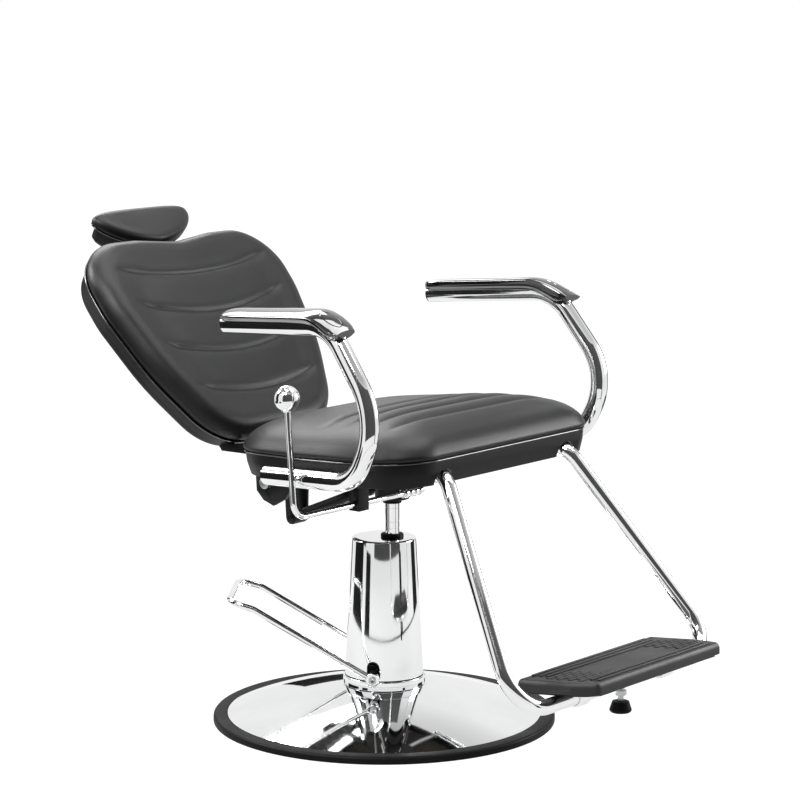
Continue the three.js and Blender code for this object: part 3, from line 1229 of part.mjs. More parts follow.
function addBackPadding(padding) {
  const channels = BACK_CHANNELS.map(([middle, half, rise]) =>
    backPad.channel((x) => middle + rise * (x / half) ** 2, half));
  add(padding, "back_cushion", cut(backPad.body(), ...channels), vinyl);
  add(padding, "back_shell", backShell(), satinPlastic);
  const edge = SHELL_WALL + BACK_BOARD_INSET;
  const board = loft([inset(backShellLoop, edge, -BOARD_THICKNESS), inset(backShellLoop, edge, 0)]);
  add(padding, "back_board", board, plywood);
  const postMiddle = BACK_SEAM_Y - POST_Y;
  const front = -BOARD_THICKNESS - GAP;
  const rear = postMiddle - POST_THICKNESS;
  const [foot, top] = [GUIDE_FOOT - BACK_BASE_Z, GUIDE_TOP - BACK_BASE_Z];
  const block = box(-GUIDE_HALF_WIDTH, GUIDE_HALF_WIDTH, foot, top, rear, front);
  const halfPost = POST_WIDTH / 2 + RUNNING;
  const channel = box(
    -halfPost, halfPost, foot - OVER, top + OVER,
    postMiddle - POST_THICKNESS / 2 - RUNNING, postMiddle + POST_THICKNESS / 2 + RUNNING);
  add(padding, "headrest_guide", cut(block, channel), blackSteel);
}

// ---- Headrest: a post that slides in the backrest, and a pad that tilts on its pin.
function addPost(back) {
  const half = POST_WIDTH / 2;
  const front = POST_Y - POST_THICKNESS / 2;
  const stemTop = GUIDE_TOP + 2 * POST_THICKNESS;
  const stem = box(-half, half, front, front + POST_THICKNESS, POST_FOOT, stemTop);
  const pivot = [HEAD_PIVOT_Y, HEAD_PIVOT_Z];
  const neck = [POST_Y + OVER, GUIDE_TOP + POST_THICKNESS];
  const knuckle = sidePlate(link(neck, POST_THICKNESS / 2 + OVER, pivot, HEAD_EYE_RADIUS), -half, half);
  const bore = bar(HEAD_PIN_RADIUS + RUNNING, -half - OVER, half + OVER, ...pivot);
  add(back, "headrest_post", cut(join(stem, knuckle), bore), chrome);
}

const headSeamY = HEAD_PAD_DEPTH - HEAD_FACE;

function headLoop() {
  const path = Array.from({ length: 4 * FORM_POINTS }, (_, i) => {
    const angle = (2 * Math.PI * i) / (4 * FORM_POINTS);
    const [sine, cosine] = [Math.sin(angle), Math.cos(angle)];
    const [height, exponent] = sine > 0 ? [HEAD_RISE, HEAD_EDGE_ROUND] : [HEAD_FALL, HEAD_BELLY_ROUND];
    const reach = (value) => Math.sign(value) * Math.abs(value) ** (2 / exponent);
    return point(HEAD_HALF_WIDTH * reach(cosine), HEAD_WIDEST + height * reach(sine));
  });
  return evenly(path, SHELL_POINTS);
}

function headShell(loop) {
  const wall = SHELL_WALL;
  const middle = point(0, HEAD_WIDEST - HEAD_EYE_RADIUS);
  const skin = (shares, drop) =>
    shares.map(([share, depth]) => drawnIn(loop, middle, share + drop / HEAD_REACH, () => drop - depth));
  const rows = HEAD_SHELL_ROWS.map(([share, depth]) => [share, depth * HEAD_SHELL_DEPTH]);
  const rim = drawnIn(loop, middle, 0, () => 0);
  const innerRim = drawnIn(loop, middle, wall / HEAD_REACH, () => 0);
  const bowl = loft([...skin(rows, 0), rim, innerRim, ...skin(rows.slice().reverse(), wall)]);
  const half = POST_WIDTH / 2 + BRACKET_EAR + FREE;
  const opening = box(
    -half, half, HEAD_WIDEST - HEAD_FALL - 2 * OVER, HEAD_OPENING_TOP,
    -HEAD_SHELL_DEPTH - OVER, -wall / 2);
  return cut(bowl, opening);
}

function addHeadrest(head) {
  const padding = new THREE.Group();
  padding.position.y = headSeamY;
  padding.rotation.x = QUARTER;
  head.add(padding);
  const loop = headLoop();
  const pad = new Pad(
    loop,
    point(0, HEAD_WIDEST + (HEAD_RISE - HEAD_FALL) / 2),
    HEAD_REACH,
    HEAD_PROFILE,
  );
  add(padding, "headrest_cushion", pad.body(), vinyl);
  add(padding, "headrest_shell", headShell(loop), satinPlastic);
  const plateFront = headSeamY + GAP;
  const plateBack = plateFront + BRACKET_PLATE;
  const [plateFoot, plateTop] = [HEAD_EYE_RADIUS, HEAD_WIDEST - HEAD_EYE_RADIUS];
  const plate = box(-BRACKET_HALF_WIDTH, BRACKET_HALF_WIDTH, plateFront, plateBack, plateFoot, plateTop);
  const inner = POST_WIDTH / 2 + RUNNING;
  const eye = HEAD_EYE_RADIUS;
  const round = eye * Math.SQRT1_2;
  const ears = SIDES.map(([, side]) => {
    const outline = [
      [-eye, -eye], [0, -eye], [round, -round], [eye, 0], [round, round],
      [plateFront + OVER, 4 * eye], [plateFront + OVER, OVER],
    ];
    return sidePlate(outline, ...sorted(side * inner, side * (inner + BRACKET_EAR)));
  });
  const across = inner + BRACKET_EAR;
  const pin = bar(HEAD_PIN_RADIUS, -across - OVER, across + OVER, 0, 0);
  add(head, "headrest_bracket", join(plate, ...ears, pin), blackSteel);
}

const seat = new THREE.Group();
seat.position.z = SEAM_HEIGHT;
seat.rotation.x = -tilt;
chair.add(seat);
addSeat(seat);
addSocket(chair);
addHinge(chair);
addGasBracket(chair);
addGasSpring(chair);
addArms(chair);
addFootrest(chair);
addLeverClamp(chair);
addLever(chair);

const back = new THREE.Group();
back.position.set(0, HINGE_Y, HINGE_Z);
back.rotation.x = -radians(BACK_LEAN);
chair.add(back);
addRecline(back);
addPost(back);
const backPadding = new THREE.Group();
backPadding.position.set(0, BACK_SEAM_Y, BACK_BASE_Z);
backPadding.rotation.x = QUARTER;
back.add(backPadding);
addBackPadding(backPadding);

const head = new THREE.Group();
head.position.set(0, HEAD_PIVOT_Y, HEAD_PIVOT_Z);
head.rotation.x = -radians(HEAD_LEAN);
back.add(head);
addHeadrest(head);

export default chair;
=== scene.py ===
import json
import math

import bmesh
import bpy
import numpy as np
from mathutils import Matrix, Vector

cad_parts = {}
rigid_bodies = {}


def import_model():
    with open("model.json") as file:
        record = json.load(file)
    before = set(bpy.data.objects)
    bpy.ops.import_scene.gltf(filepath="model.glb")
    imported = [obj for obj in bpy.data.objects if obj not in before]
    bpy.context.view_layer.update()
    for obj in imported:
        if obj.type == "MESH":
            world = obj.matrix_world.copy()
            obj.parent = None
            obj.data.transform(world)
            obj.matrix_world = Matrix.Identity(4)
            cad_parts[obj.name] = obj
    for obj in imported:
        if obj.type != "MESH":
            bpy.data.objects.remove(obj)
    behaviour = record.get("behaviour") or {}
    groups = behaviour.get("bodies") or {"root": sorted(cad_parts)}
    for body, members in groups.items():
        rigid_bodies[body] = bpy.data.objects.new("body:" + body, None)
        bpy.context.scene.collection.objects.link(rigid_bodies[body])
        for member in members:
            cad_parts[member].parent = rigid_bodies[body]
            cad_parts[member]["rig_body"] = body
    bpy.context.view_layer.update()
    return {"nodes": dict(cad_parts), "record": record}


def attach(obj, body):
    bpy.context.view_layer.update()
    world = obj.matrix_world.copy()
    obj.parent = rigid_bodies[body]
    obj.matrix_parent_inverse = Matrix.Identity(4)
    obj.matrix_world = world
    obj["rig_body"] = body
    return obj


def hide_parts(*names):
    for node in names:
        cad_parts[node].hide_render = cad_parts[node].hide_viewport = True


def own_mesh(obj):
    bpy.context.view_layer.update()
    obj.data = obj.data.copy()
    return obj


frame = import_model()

# A hydraulic barber chair. Sizes are in millimetres, and become metres where a mesh is made.
# +Z is up, the sitter faces -Y, and the origin is on the floor under the piston.
MM = 0.001
SIDES = (("left", 1), ("right", -1))  # the sitter's left is +X

# ---- Camera, at the photograph's angle: 129 mm lens, five metres off, a little over the arms.
CAMERA_AT = (-3.7907, -3.1130, 1.3418)
CAMERA_AIM = (0.0086, -0.0105, 0.5652)
CAMERA_LENS = 129.22


def make_camera():
    camera = bpy.data.cameras.new("camera")
    camera.lens = CAMERA_LENS
    camera.sensor_width = 36
    camera.clip_start, camera.clip_end = 0.05, 60
    holder = bpy.data.objects.new("camera", camera)
    holder.location = CAMERA_AT
    aim = Vector(CAMERA_AIM) - Vector(CAMERA_AT)
    holder.rotation_euler = aim.to_track_quat("-Z", "Y").to_euler()
    bpy.context.scene.collection.objects.link(holder)
    bpy.context.scene.camera = holder


make_camera()


# ---- Node trees, of materials, the world and the tread's bricks.
class Value:
    """An output socket. Arithmetic on it adds Math nodes."""

    def __init__(self, nodes, socket):
        self.nodes = nodes
        self.socket = socket

    def __add__(self, other):
        return self.nodes.math("ADD", self, other)

    def __sub__(self, other):
        return self.nodes.math("SUBTRACT", self, other)

    def __rsub__(self, other):
        return self.nodes.math("SUBTRACT", other, self)

    def __mul__(self, other):
        return self.nodes.math("MULTIPLY", self, other)

    __radd__ = __add__
    __rmul__ = __mul__

    def eased(self, low, high):
        """From 0 at low to 1 at high, smoothly."""
        settings = {"interpolation_type": "SMOOTHSTEP"}
        inputs = {"Value": self, "From Min": low, "From Max": high}
        return self.nodes.node("ShaderNodeMapRange", settings, inputs)


class Nodes:
    """A node tree. Its node method adds every node: settings first, then values and links."""

    def __init__(self, tree):
        self.tree = tree

    def node(self, kind, settings, inputs, output=0):
        made = self.tree.nodes.new(kind)
        for key, value in settings.items():
            if key == "stops":
                for stop, (position, colour) in zip(made.color_ramp.elements, value):
                    stop.position, stop.color = position, colour
            else:
                setattr(made, key, value)
        for key, value in inputs.items():
            self.give(made.inputs[key], value)
        return Value(self, made.outputs[output])

    def give(self, socket, value):
        if isinstance(value, Value):
            self.tree.links.new(value.socket, socket)
        else:
            socket.default_value = value

    def math(self, operation, *values):
        return self.node("ShaderNodeMath", {"operation": operation}, dict(enumerate(values)))


class Finish(Nodes):
    """One material: a Principled shader, and the nodes that vary it over the surface."""

    def __init__(self, name, **constants):
        self.material = bpy.data.materials.new(name)
        self.material.use_nodes = True
        super().__init__(self.material.node_tree)
        self.shader = self.tree.nodes["Principled BSDF"]
        for socket, value in constants.items():
            self.feed(socket.replace("_", " "), value)

    def feed(self, socket, value):
        self.give(self.shader.inputs[socket], value)

    def place(self, stretch=(1, 1, 1)):
        """Object coordinates, stretched along the axes."""
        where = self.node("ShaderNodeTexCoord", {}, {}, "Object")
        return self.node("ShaderNodeMapping", {}, {"Vector": where, "Scale": stretch})

    def noise(self, scale, detail, stretch=(1, 1, 1), roughness=0.5):
        inputs = {"Vector": self.place(stretch), "Scale": scale}
        inputs |= {"Detail": detail, "Roughness": roughness}
        return self.node("ShaderNodeTexNoise", {}, inputs)

    def pebbles(self, scale):
        """The leather pattern of vinyl: 0 in the creases between its cells."""
        inputs = {"Vector": self.place(), "Scale": scale}
        return self.node("ShaderNodeTexVoronoi", {"feature": "DISTANCE_TO_EDGE"}, inputs)

    def tint(self, amount, dark, light):
        """The base colour, from dark to light as amount goes from 0 to 1."""
        stops = ((0, (*dark, 1)), (1, (*light, 1)))
        self.feed("Base Color", self.node("ShaderNodeValToRGB", {"stops": stops}, {"Fac": amount}))

    def bump(self, height, strength, distance):
        inputs = {"Height": height, "Strength": strength, "Distance": distance}
        self.feed("Normal", self.node("ShaderNodeBump", {}, inputs))


def chrome_finish():
    finish = Finish("chrome", Metallic=1.0)
    smudge = finish.noise(9, 4).eased(0.35, 0.75)
    finish.feed("Roughness", smudge * 0.045 + 0.035)
    finish.tint(smudge, (0.90, 0.905, 0.91), (0.965, 0.97, 0.97))
    finish.bump(finish.noise(26, 2), 0.05, 0.0006)
    return finish.material


def steel_finish():
    finish = Finish("steel", Metallic=1.0)
    turned = finish.noise(60, 4, (1, 14, 14))
    finish.feed("Roughness", turned * 0.18 + 0.24)
    finish.tint(turned, (0.42, 0.43, 0.44), (0.60, 0.61, 0.62))
    finish.bump(turned, 0.12, 0.0003)
    return finish.material


def paint_finish():
    finish = Finish("black_paint", Coat_Roughness=0.25, Specular_IOR_Level=0.2)
    peel = finish.noise(320, 2)
    wear = finish.noise(14, 5).eased(0.55, 0.8)
    finish.feed("Roughness", wear * 0.14 + 0.36)
    finish.feed("Coat Weight", 0.10 - wear * 0.08)
    finish.tint(wear, (0.0028, 0.0028, 0.0030), (0.0055, 0.0055, 0.0058))
    finish.bump(peel, 0.10, 0.0004)
    return finish.material


def rubber_finish(name="rubber", light=0.003, gloss=0.1):
    finish = Finish(name, Specular_IOR_Level=gloss)
    dust = finish.noise(7, 5).eased(0.4, 0.8)
    finish.feed("Roughness", 0.52 - dust * 0.12)
    finish.tint(dust, (light * 0.7,) * 3, (light * 1.25,) * 3)
    finish.bump(finish.noise(700, 3), 0.25, 0.0003)
    return finish.material


def vinyl_finish():
    finish = Finish("vinyl", Specular_IOR_Level=0.28)
    cloud = finish.noise(5, 3).eased(0.3, 0.7)
    grain = finish.pebbles(620)
    pores = finish.noise(900, 2)
    finish.feed("Roughness", cloud * 0.05 + pores * 0.10 + 0.33)
    finish.tint(cloud, (0.0026, 0.0027, 0.0028), (0.0038, 0.0039, 0.0040))
    finish.bump(grain.eased(0.0, 0.35) + pores * 0.6, 0.26, 0.0003)
    return finish.material


def satin_finish():
    finish = Finish("satin_plastic", Specular_IOR_Level=0.19)
    flow = finish.noise(6, 3).eased(0.3, 0.75)
    spark = finish.noise(1100, 2)
    finish.feed("Roughness", flow * 0.06 + 0.36)
    finish.tint(flow, (0.0024, 0.0024, 0.0026), (0.0038, 0.0038, 0.0040))
    finish.bump(spark, 0.18, 0.0002)
    return finish.material


def gloss_finish():
    finish = Finish("gloss_plastic", IOR=1.75, Coat_Roughness=0.03)
    haze = finish.noise(12, 4).eased(0.4, 0.8)
    finish.feed("Roughness", haze * 0.05 + 0.07)
    finish.feed("Coat Weight", 0.9 - haze * 0.2)
    finish.tint(haze, (0.0015, 0.0015, 0.0016), (0.0026, 0.0026, 0.0028))
    finish.bump(finish.noise(40, 2), 0.03, 0.0004)
    return finish.material


def plywood_finish():
    finish = Finish("plywood", Specular_IOR_Level=0.3)
    grain = finish.noise(22, 6, (9, 1, 1), 0.6)
    finish.feed("Roughness", grain * 0.2 + 0.6)
    finish.tint(grain, (0.010, 0.008, 0.006), (0.026, 0.021, 0.016))
    finish.bump(grain, 0.3, 0.0004)
    return finish.material


CHROME = chrome_finish()
STEEL = steel_finish()
PAINT = paint_finish()
RUBBER = rubber_finish()
TREAD_RUBBER = rubber_finish("tread_rubber", 0.009, 0.4)
VINYL = vinyl_finish()
SATIN = satin_finish()
GLOSS = gloss_finish()
PLYWOOD = plywood_finish()
SLOT_OF = {row["node"]: row["material_slot"] for row in frame["record"]["subparts"]}
FINISH_OF = {
    "chrome": CHROME, "steel": STEEL, "black_steel": PAINT, "rubber": RUBBER, "vinyl": VINYL,
    "satin_plastic": SATIN, "gloss_plastic": GLOSS, "plywood": PLYWOOD,
}


# ---- Meshes.
SMOOTH_ANGLE = math.radians(32)  # of edges that stay smooth
PADDED_ANGLE = math.radians(80)
DOUBLES = 1e-6  # metres between points that count as one


def make_mesh(name, points, faces):
    mesh = bpy.data.meshes.new(name)
    mesh.from_pydata([Vector(p) * MM for p in points], [], faces)
    shaped = bmesh.new()
    shaped.from_mesh(mesh)
    bmesh.ops.remove_doubles(shaped, verts=shaped.verts, dist=DOUBLES)
    bmesh.ops.recalc_face_normals(shaped, faces=shaped.faces)
    if shaped.calc_volume(signed=True) < 0:
        bmesh.ops.reverse_faces(shaped, faces=shaped.faces)
    shaped.to_mesh(mesh)
    shaped.free()
    piece = bpy.data.objects.new(name, mesh)
    bpy.context.scene.collection.objects.link(piece)
    return piece


def settled(piece):
    """What the modifiers make becomes the plain mesh."""
    bpy.context.view_layer.update()
    graph = bpy.context.evaluated_depsgraph_get()
    mesh = bpy.data.meshes.new_from_object(piece.evaluated_get(graph))
    piece.modifiers.clear()
    piece.data = mesh
    return piece


def moved(piece, matrix):
    """The piece's place goes into its mesh."""
    lengths = matrix.copy()
    lengths.translation *= MM
    piece.data.transform(lengths)
    return piece


def fitted(piece, body, slot, replaces=(), finish=None, angle=SMOOTH_ANGLE):
    """The piece gets its shading, finish and body, and stands for the CAD nodes it replaces."""
    piece.data.shade_smooth()
    piece.data.set_sharp_from_angle(angle=angle)
    piece.data.materials.clear()
    piece.data.materials.append(finish or FINISH_OF[slot])
    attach(piece, body)
    if replaces:
        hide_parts(*replaces)
    return piece


def fillet(points, steps, closed=True):
    """Corners of (x, y, radius) as a rounded line of (x, y)."""
    count = len(points)
    line = []
    for i, (x, y, radius) in enumerate(points):
        if radius == 0 or (not closed and i in (0, count - 1)):
            line.append((x, y))
            continue
        corner = Vector((x, y))
        before = Vector(points[i - 1][:2])
        after = Vector(points[(i + 1) % count][:2])
        line.extend(tuple(p) for p in corner_arc(before, corner, after, radius, steps))
    return line


def corner_arc(before, corner, after, radius, steps):
    """Points of the arc that rounds one corner, in the plane or in space."""
    back = (before - corner).normalized()
    ahead = (after - corner).normalized()
    turn = math.pi - back.angle(ahead)
    start = corner + back * (radius * math.tan(turn / 2))
    centre = corner + (back + ahead).normalized() * (radius / math.cos(turn / 2))
    spoke = start - centre
    return [
        centre + spoke * math.cos(turn * i / steps) - back * (radius * math.sin(turn * i / steps))
        for i in range(steps + 1)
    ]


def skin(rows, wrap=False):
    """Faces between rows of equally many points, each row a closed ring."""
    count = len(rows[0])
    faces = []
    for row in range(len(rows) if wrap else len(rows) - 1):
        low, high = row * count, ((row + 1) % len(rows)) * count
        for i in range(count):
            j = (i + 1) % count
            faces.append((low + i, low + j, high + j, high + i))
    return faces


def lofted(name, rows, wrap=False):
    points = [p for row in rows for p in row]
    faces = skin(rows, wrap)
    if not wrap:
        count = len(rows[0])
        for start, row in ((0, rows[0]), (len(points) - count, rows[-1])):
            middle = sum((Vector(p) for p in row), Vector()) / count
            points.append(tuple(middle))
            hub = len(points) - 1
            faces.extend((start + i, start + (i + 1) % count, hub) for i in range(count))
    return make_mesh(name, points, faces)


def revolved(name, profile, sides, wrap=False):
    """A profile of (radius, height) about Z. With wrap it closes on itself, else it ends on the axis."""
    turns = [2 * math.pi * i / sides for i in range(sides)]
    rows = [[(r * math.cos(a), r * math.sin(a), z) for a in turns] for r, z in profile]
    return lofted(name, rows, wrap)


def rod_line(corners, steps):
    """Straight runs with rounded corners of (x, y, z, radius), as points."""
    places = [Vector(c[:3]) for c in corners]
    line = [places[0]]
    for i in range(1, len(places) - 1):
        line += corner_arc(places[i - 1], places[i], places[i + 1], corners[i][3], steps)
    return line + [places[-1]]


def both_sides(half):
    """Corners of (x, y, z, radius) on the left, and the same on the right in the other order."""
    return half + [(-x, y, z, bend) for x, y, z, bend in reversed(half)]


def swept(name, line, radius, sides=28, bevel=0.8):
    """A round bar along a line of points, with bevelled ends."""
    last = len(line) - 1
    ahead = [(line[min(i + 1, last)] - line[max(i - 1, 0)]).normalized() for i in range(len(line))]
    side = ahead[0].cross(Vector((0, 0, 1)))
    if side.length < 0.1:
        side = ahead[0].cross(Vector((0, 1, 0)))
    side.normalize()
    turns = [2 * math.pi * i / sides for i in range(sides)]
    section = [(math.cos(a) * radius, math.sin(a) * radius) for a in turns]
    rows = []
    for i, place in enumerate(line):
        if i:
            side = (ahead[i - 1].rotation_difference(ahead[i]) @ side).normalized()
        up = side.cross(ahead[i])
        rows.append([place + side * a + up * b for a, b in section])
    inner = 1 - bevel / radius
    ends = []
    for row, place, way in ((rows[0], line[0], ahead[0]), (rows[-1], line[-1], -ahead[-1])):
        ends.append([place + (p - place) * inner for p in row])
        row[:] = [p + way * bevel for p in row]
    return lofted(name, [ends[0], *rows, ends[1]])


def block(name, low, high, bevel=0):
    """A box between two corners, with rounded edges."""
    (x0, y0, z0), (x1, y1, z1) = low, high
    rows = [[(x0, y0, z), (x1, y0, z), (x1, y1, z), (x0, y1, z)] for z in (z0, z1)]
    points = rows[0] + rows[1]
    faces = [(0, 3, 2, 1), (4, 5, 6, 7), (0, 1, 5, 4), (1, 2, 6, 5), (2, 3, 7, 6), (3, 0, 4, 7)]
    piece = make_mesh(name, points, faces)
    return bevelled(piece, bevel) if bevel else piece


def bevelled(piece, width, segments=3):
    cut = piece.modifiers.new("edge", "BEVEL")
    cut.width = width * MM
    cut.segments = segments
    cut.limit_method = "ANGLE"
    cut.angle_limit = math.radians(35)
    return settled(piece)


def upright(name, outline, x0, x1):
    """A plate in the YZ plane between x0 and x1, from an outline of (y, z)."""
    rows = [[(x, y, z) for y, z in outline] for x in (x0, x1)]
    count = len(outline)
    faces = skin(rows) + [tuple(range(count)), tuple(range(2 * count - 1, count - 1, -1))]
    return make_mesh(name, rows[0] + rows[1], faces)


def carved(piece, *cutters):
    """The piece less its cutters, which go."""
    for cutter in cutters:
        cut = piece.modifiers.new("cut", "BOOLEAN")
        cut.operation = "DIFFERENCE"
        cut.solver = "EXACT"
        cut.object = cutter
    settled(piece)
    for cutter in cutters:
        bpy.data.objects.remove(cutter)
    return piece


def joined(name, *pieces):
    """Several bodies of one piece, as one object."""
    whole = bmesh.new()
    for piece in pieces:
        whole.from_mesh(piece.data)
        bpy.data.objects.remove(piece)
    mesh = bpy.data.meshes.new(name)
    whole.to_mesh(mesh)
    whole.free()
    made = bpy.data.objects.new(name, mesh)
    bpy.context.scene.collection.objects.link(made)
    return made


def refined(node, width=0.7, cutters=()):
    """A CAD node's own solid with its edges rounded off, and what the cutters take from it."""
    source = frame["nodes"][node]
    copy = bpy.data.objects.new(node + "_finished", source.data.copy())
    bpy.context.scene.collection.objects.link(copy)
    shaped = bmesh.new()
    shaped.from_mesh(copy.data)
    bmesh.ops.remove_doubles(shaped, verts=shaped.verts, dist=2 * DOUBLES)
    bmesh.ops.dissolve_limit(
        shaped, angle_limit=math.radians(1), verts=shaped.verts, edges=shaped.edges)
    shaped.to_mesh(copy.data)
    shaped.free()
    carved(bevelled(copy, width, 2), *cutters)
    return fitted(copy, source["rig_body"], SLOT_OF[node], [node])


def place(x=0, y=0, z=0, turn=0, axis="X"):
    return Matrix.Translation((x, y, z)) @ Matrix.Rotation(math.radians(turn), 4, axis)


PEDAL_TURN = 36.9  # degrees, of the pedal's side from the chair's rear
PUMP_OFFSET = 14.2  # of the base's centre from the piston
SEAM_HEIGHT = 500.5  # of the seat's seam over the piston
SEAT_TILT = 3.3
BASE = place(
    -PUMP_OFFSET * math.sin(math.radians(PEDAL_TURN)), PUMP_OFFSET * math.cos(math.radians(PEDAL_TURN)),
    0, PEDAL_TURN, "Z")
SEAT = place(z=SEAM_HEIGHT, turn=-SEAT_TILT)
BACK = place(y=198, z=412, turn=-39.1)
BACK_PAD = BACK @ place(y=19.6, z=190.3, turn=90)
HEAD = BACK @ place(y=50.5, z=531, turn=-11.5)
HEAD_PAD = HEAD @ place(y=-15.5, turn=90)
ALONG_X = place(turn=90, axis="Y")


# ---- Base, pump and foot pedal. Their frame is turned so that +Y is the pedal's side.
DISH_RADIUS, DISH_EDGE = 275, 13.3
COVER_FOOT_RADIUS, DISH_RISE, DISH_CROWN = 68, 50.7, 20
DISH_STEPS = 40
PLUNGER_Y = 38.1
SPRING_TURNS, SPRING_RADIUS, SPRING_FOOT, SPRING_HEIGHT = 4.5, 10.75, 63.4, 14.7
PEDAL_HALF_WIDTH = 88.5
PEDAL_AXIS = (16.1, 90)
ROD_RADIUS = 13
STOP_FOOT, STOP_TOP, ROD_TOP = 385, 392, 440


def ring_mesh(name, corners, sides):
    """A ring from its section's corners of (radius, height, rounding)."""
    return revolved(name, fillet(corners, 5), sides, wrap=True)


def make_base():
    ring = ring_mesh("rubber_ring", [
        (262, 0, 0), (300, 0, 1.2), (300, 13, 5.5), (275.3, 13, 1), (275.3, 11, 0), (262, 11, 0),
    ], 180)
    fitted(moved(ring, BASE), "base", "rubber", ["base_rubber_ring"])
    outside = []
    for i in range(DISH_STEPS + 1):
        share = i / DISH_STEPS
        height = DISH_EDGE + DISH_RISE * share + DISH_CROWN * share * (1 - share)
        outside.append((DISH_RADIUS - (DISH_RADIUS - COVER_FOOT_RADIUS) * share, height))
    inside = [(r, z - 2) for r, z in reversed(outside)]
    dish = revolved("dish", outside + inside, 180, wrap=True)
    fitted(moved(dish, BASE), "base", "chrome", ["base_dish"])
    collar = ring_mesh("collar", [
        (COVER_FOOT_RADIUS, 64.3, 0.5), (72, 64.3, 0.8), (72, 80.6, 2), (COVER_FOOT_RADIUS, 80.6, 0.6),
    ], 128)
    fitted(moved(collar, BASE), "base", "chrome", ["base_collar"])

    wall = fillet([
        (40, 323, 0), (54.2, 323, 2), (66.8, 84, 0), (67, 82.1, 0), (69, 82.1, 0.4), (66.5, 130, 0),
        (56.2, 325, 4), (40, 325, 0),
    ], 8, closed=False)
    cover = revolved("cover", wall, 128)
    slot = fillet([(5.1, 80, 0), (27.1, 80, 0), (27.1, 116, 10.9), (5.1, 116, 10.9)], 10)
    hole = moved(revolved("hole", [(14, 318), (14, 330)], 48), place(y=-PUMP_OFFSET))
    carved(cover, upright("slot", slot, -72, 72), hole)
    fitted(moved(cover, BASE), "base", "chrome", ["pump_cover"])

    wiper = ring_mesh("wiper", [(13.5, 325.3, 0.3), (20, 325.3, 0.8), (20, 331, 2.8), (13.5, 331, 1)], 64)
    fitted(wiper, "base", "rubber", ["rod_wiper"])


def make_plunger():
    plunger = revolved("plunger", [(7, 41), (8, 42), (8, 79.5), (12, 79.5), (12, 84), (11.5, 84.5)], 32)
    fitted(moved(plunger, BASE @ place(y=PLUNGER_Y)), "plunger", "steel", ["pump_plunger"])
    whole = 2 * math.pi * SPRING_TURNS
    coil = []
    for a in (whole * i / 180 for i in range(181)):
        height = SPRING_FOOT + SPRING_HEIGHT * a / whole
        coil.append(Vector((SPRING_RADIUS * math.cos(a), SPRING_RADIUS * math.sin(a), height)))
    spring = moved(swept("spring", coil, 1.05, 10, 0.2), BASE @ place(y=PLUNGER_Y))
    fitted(spring, "base", "steel", ["plunger_spring"])
    anchor = BASE @ Vector((0, PLUNGER_Y, SPRING_FOOT - 1.1)) * MM
    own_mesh(spring)


def make_pedal():
    run = ((*PEDAL_AXIS, 0), (222, 213, 40), (264, 225, 28))
    half = [(PEDAL_HALF_WIDTH, *corner) for corner in run]
    bar = swept("bar", rod_line(both_sides(half), 14), 5.75)
    eyes = []
    for _, side in SIDES:
        eye = ring_mesh("eye", [(4.5, -6, 0.5), (12, -6, 1.4), (12, 6, 1.4), (4.5, 6, 0.5)], 48)
        eyes.append(moved(eye, place(side * PEDAL_HALF_WIDTH, *PEDAL_AXIS) @ ALONG_X))
    pedal = moved(joined("pedal", bar, *eyes), BASE)
    fitted(pedal, "pedal", "chrome", ["pedal_bar"])
    bores = []
    for _, side in SIDES:
        bore = revolved("bore", [(2.7, 89), (2.7, 100)], 24)
        bores.append(moved(bore, BASE @ place(0, *PEDAL_AXIS) @ place(turn=90 * side, axis="Y")))
    refined("pedal_shaft", 0.5, bores)


def make_piston():
    profile = [(ROD_RADIUS - 1, 90), (ROD_RADIUS, 91)]
    for z in (340, 352, 376):  # its turned lines
        neck = ROD_RADIUS - 0.8
        profile += [(ROD_RADIUS, z), (neck, z + 0.3), (neck, z + 1.5), (ROD_RADIUS, z + 1.8)]
    piston = revolved("piston", profile + [(ROD_RADIUS, ROD_TOP - 1), (ROD_RADIUS - 1, ROD_TOP)], 72)
    fitted(piston, "piston", "chrome", ["piston_rod"])
    collar = ring_mesh("stop", [
        (13.5, STOP_FOOT, 0.4), (16.5, STOP_FOOT, 1.2), (16.5, STOP_TOP, 1.2), (13.5, STOP_TOP, 0.4),
    ], 64)
    fitted(collar, "piston", "rubber", ["piston_collar"])
    socket = revolved("socket", fillet([
        (5, 440.5, 0), (13.5, 440.5, 0.5), (13.5, 392.6, 0.8), (30, 392.6, 1.5), (30, 457, 0),
        (5, 457, 0),
    ], 5, closed=False), 64)
    carved(socket, moved(block("above", (-60, -60, -50.9), (60, 60, 20)), SEAT))
    fitted(socket, "seat", "black_steel", ["seat_socket"])


make_base()
make_plunger()
make_pedal()
make_piston()


# ---- Padded forms: a fine grid over an outline, from its seam to its middle.
def spaced(line, count, closed=True):
    """Points at equal steps along a line of (x, y)."""
    points = np.array(line, float)
    if closed:
        points = np.vstack([points, points[:1]])
    along = np.concatenate([[0], np.cumsum(np.linalg.norm(np.diff(points, axis=0), axis=1))])
    stops = np.linspace(0, along[-1], count, endpoint=not closed)
    return np.column_stack([np.interp(stops, along, points[:, i]) for i in range(points.shape[1])])


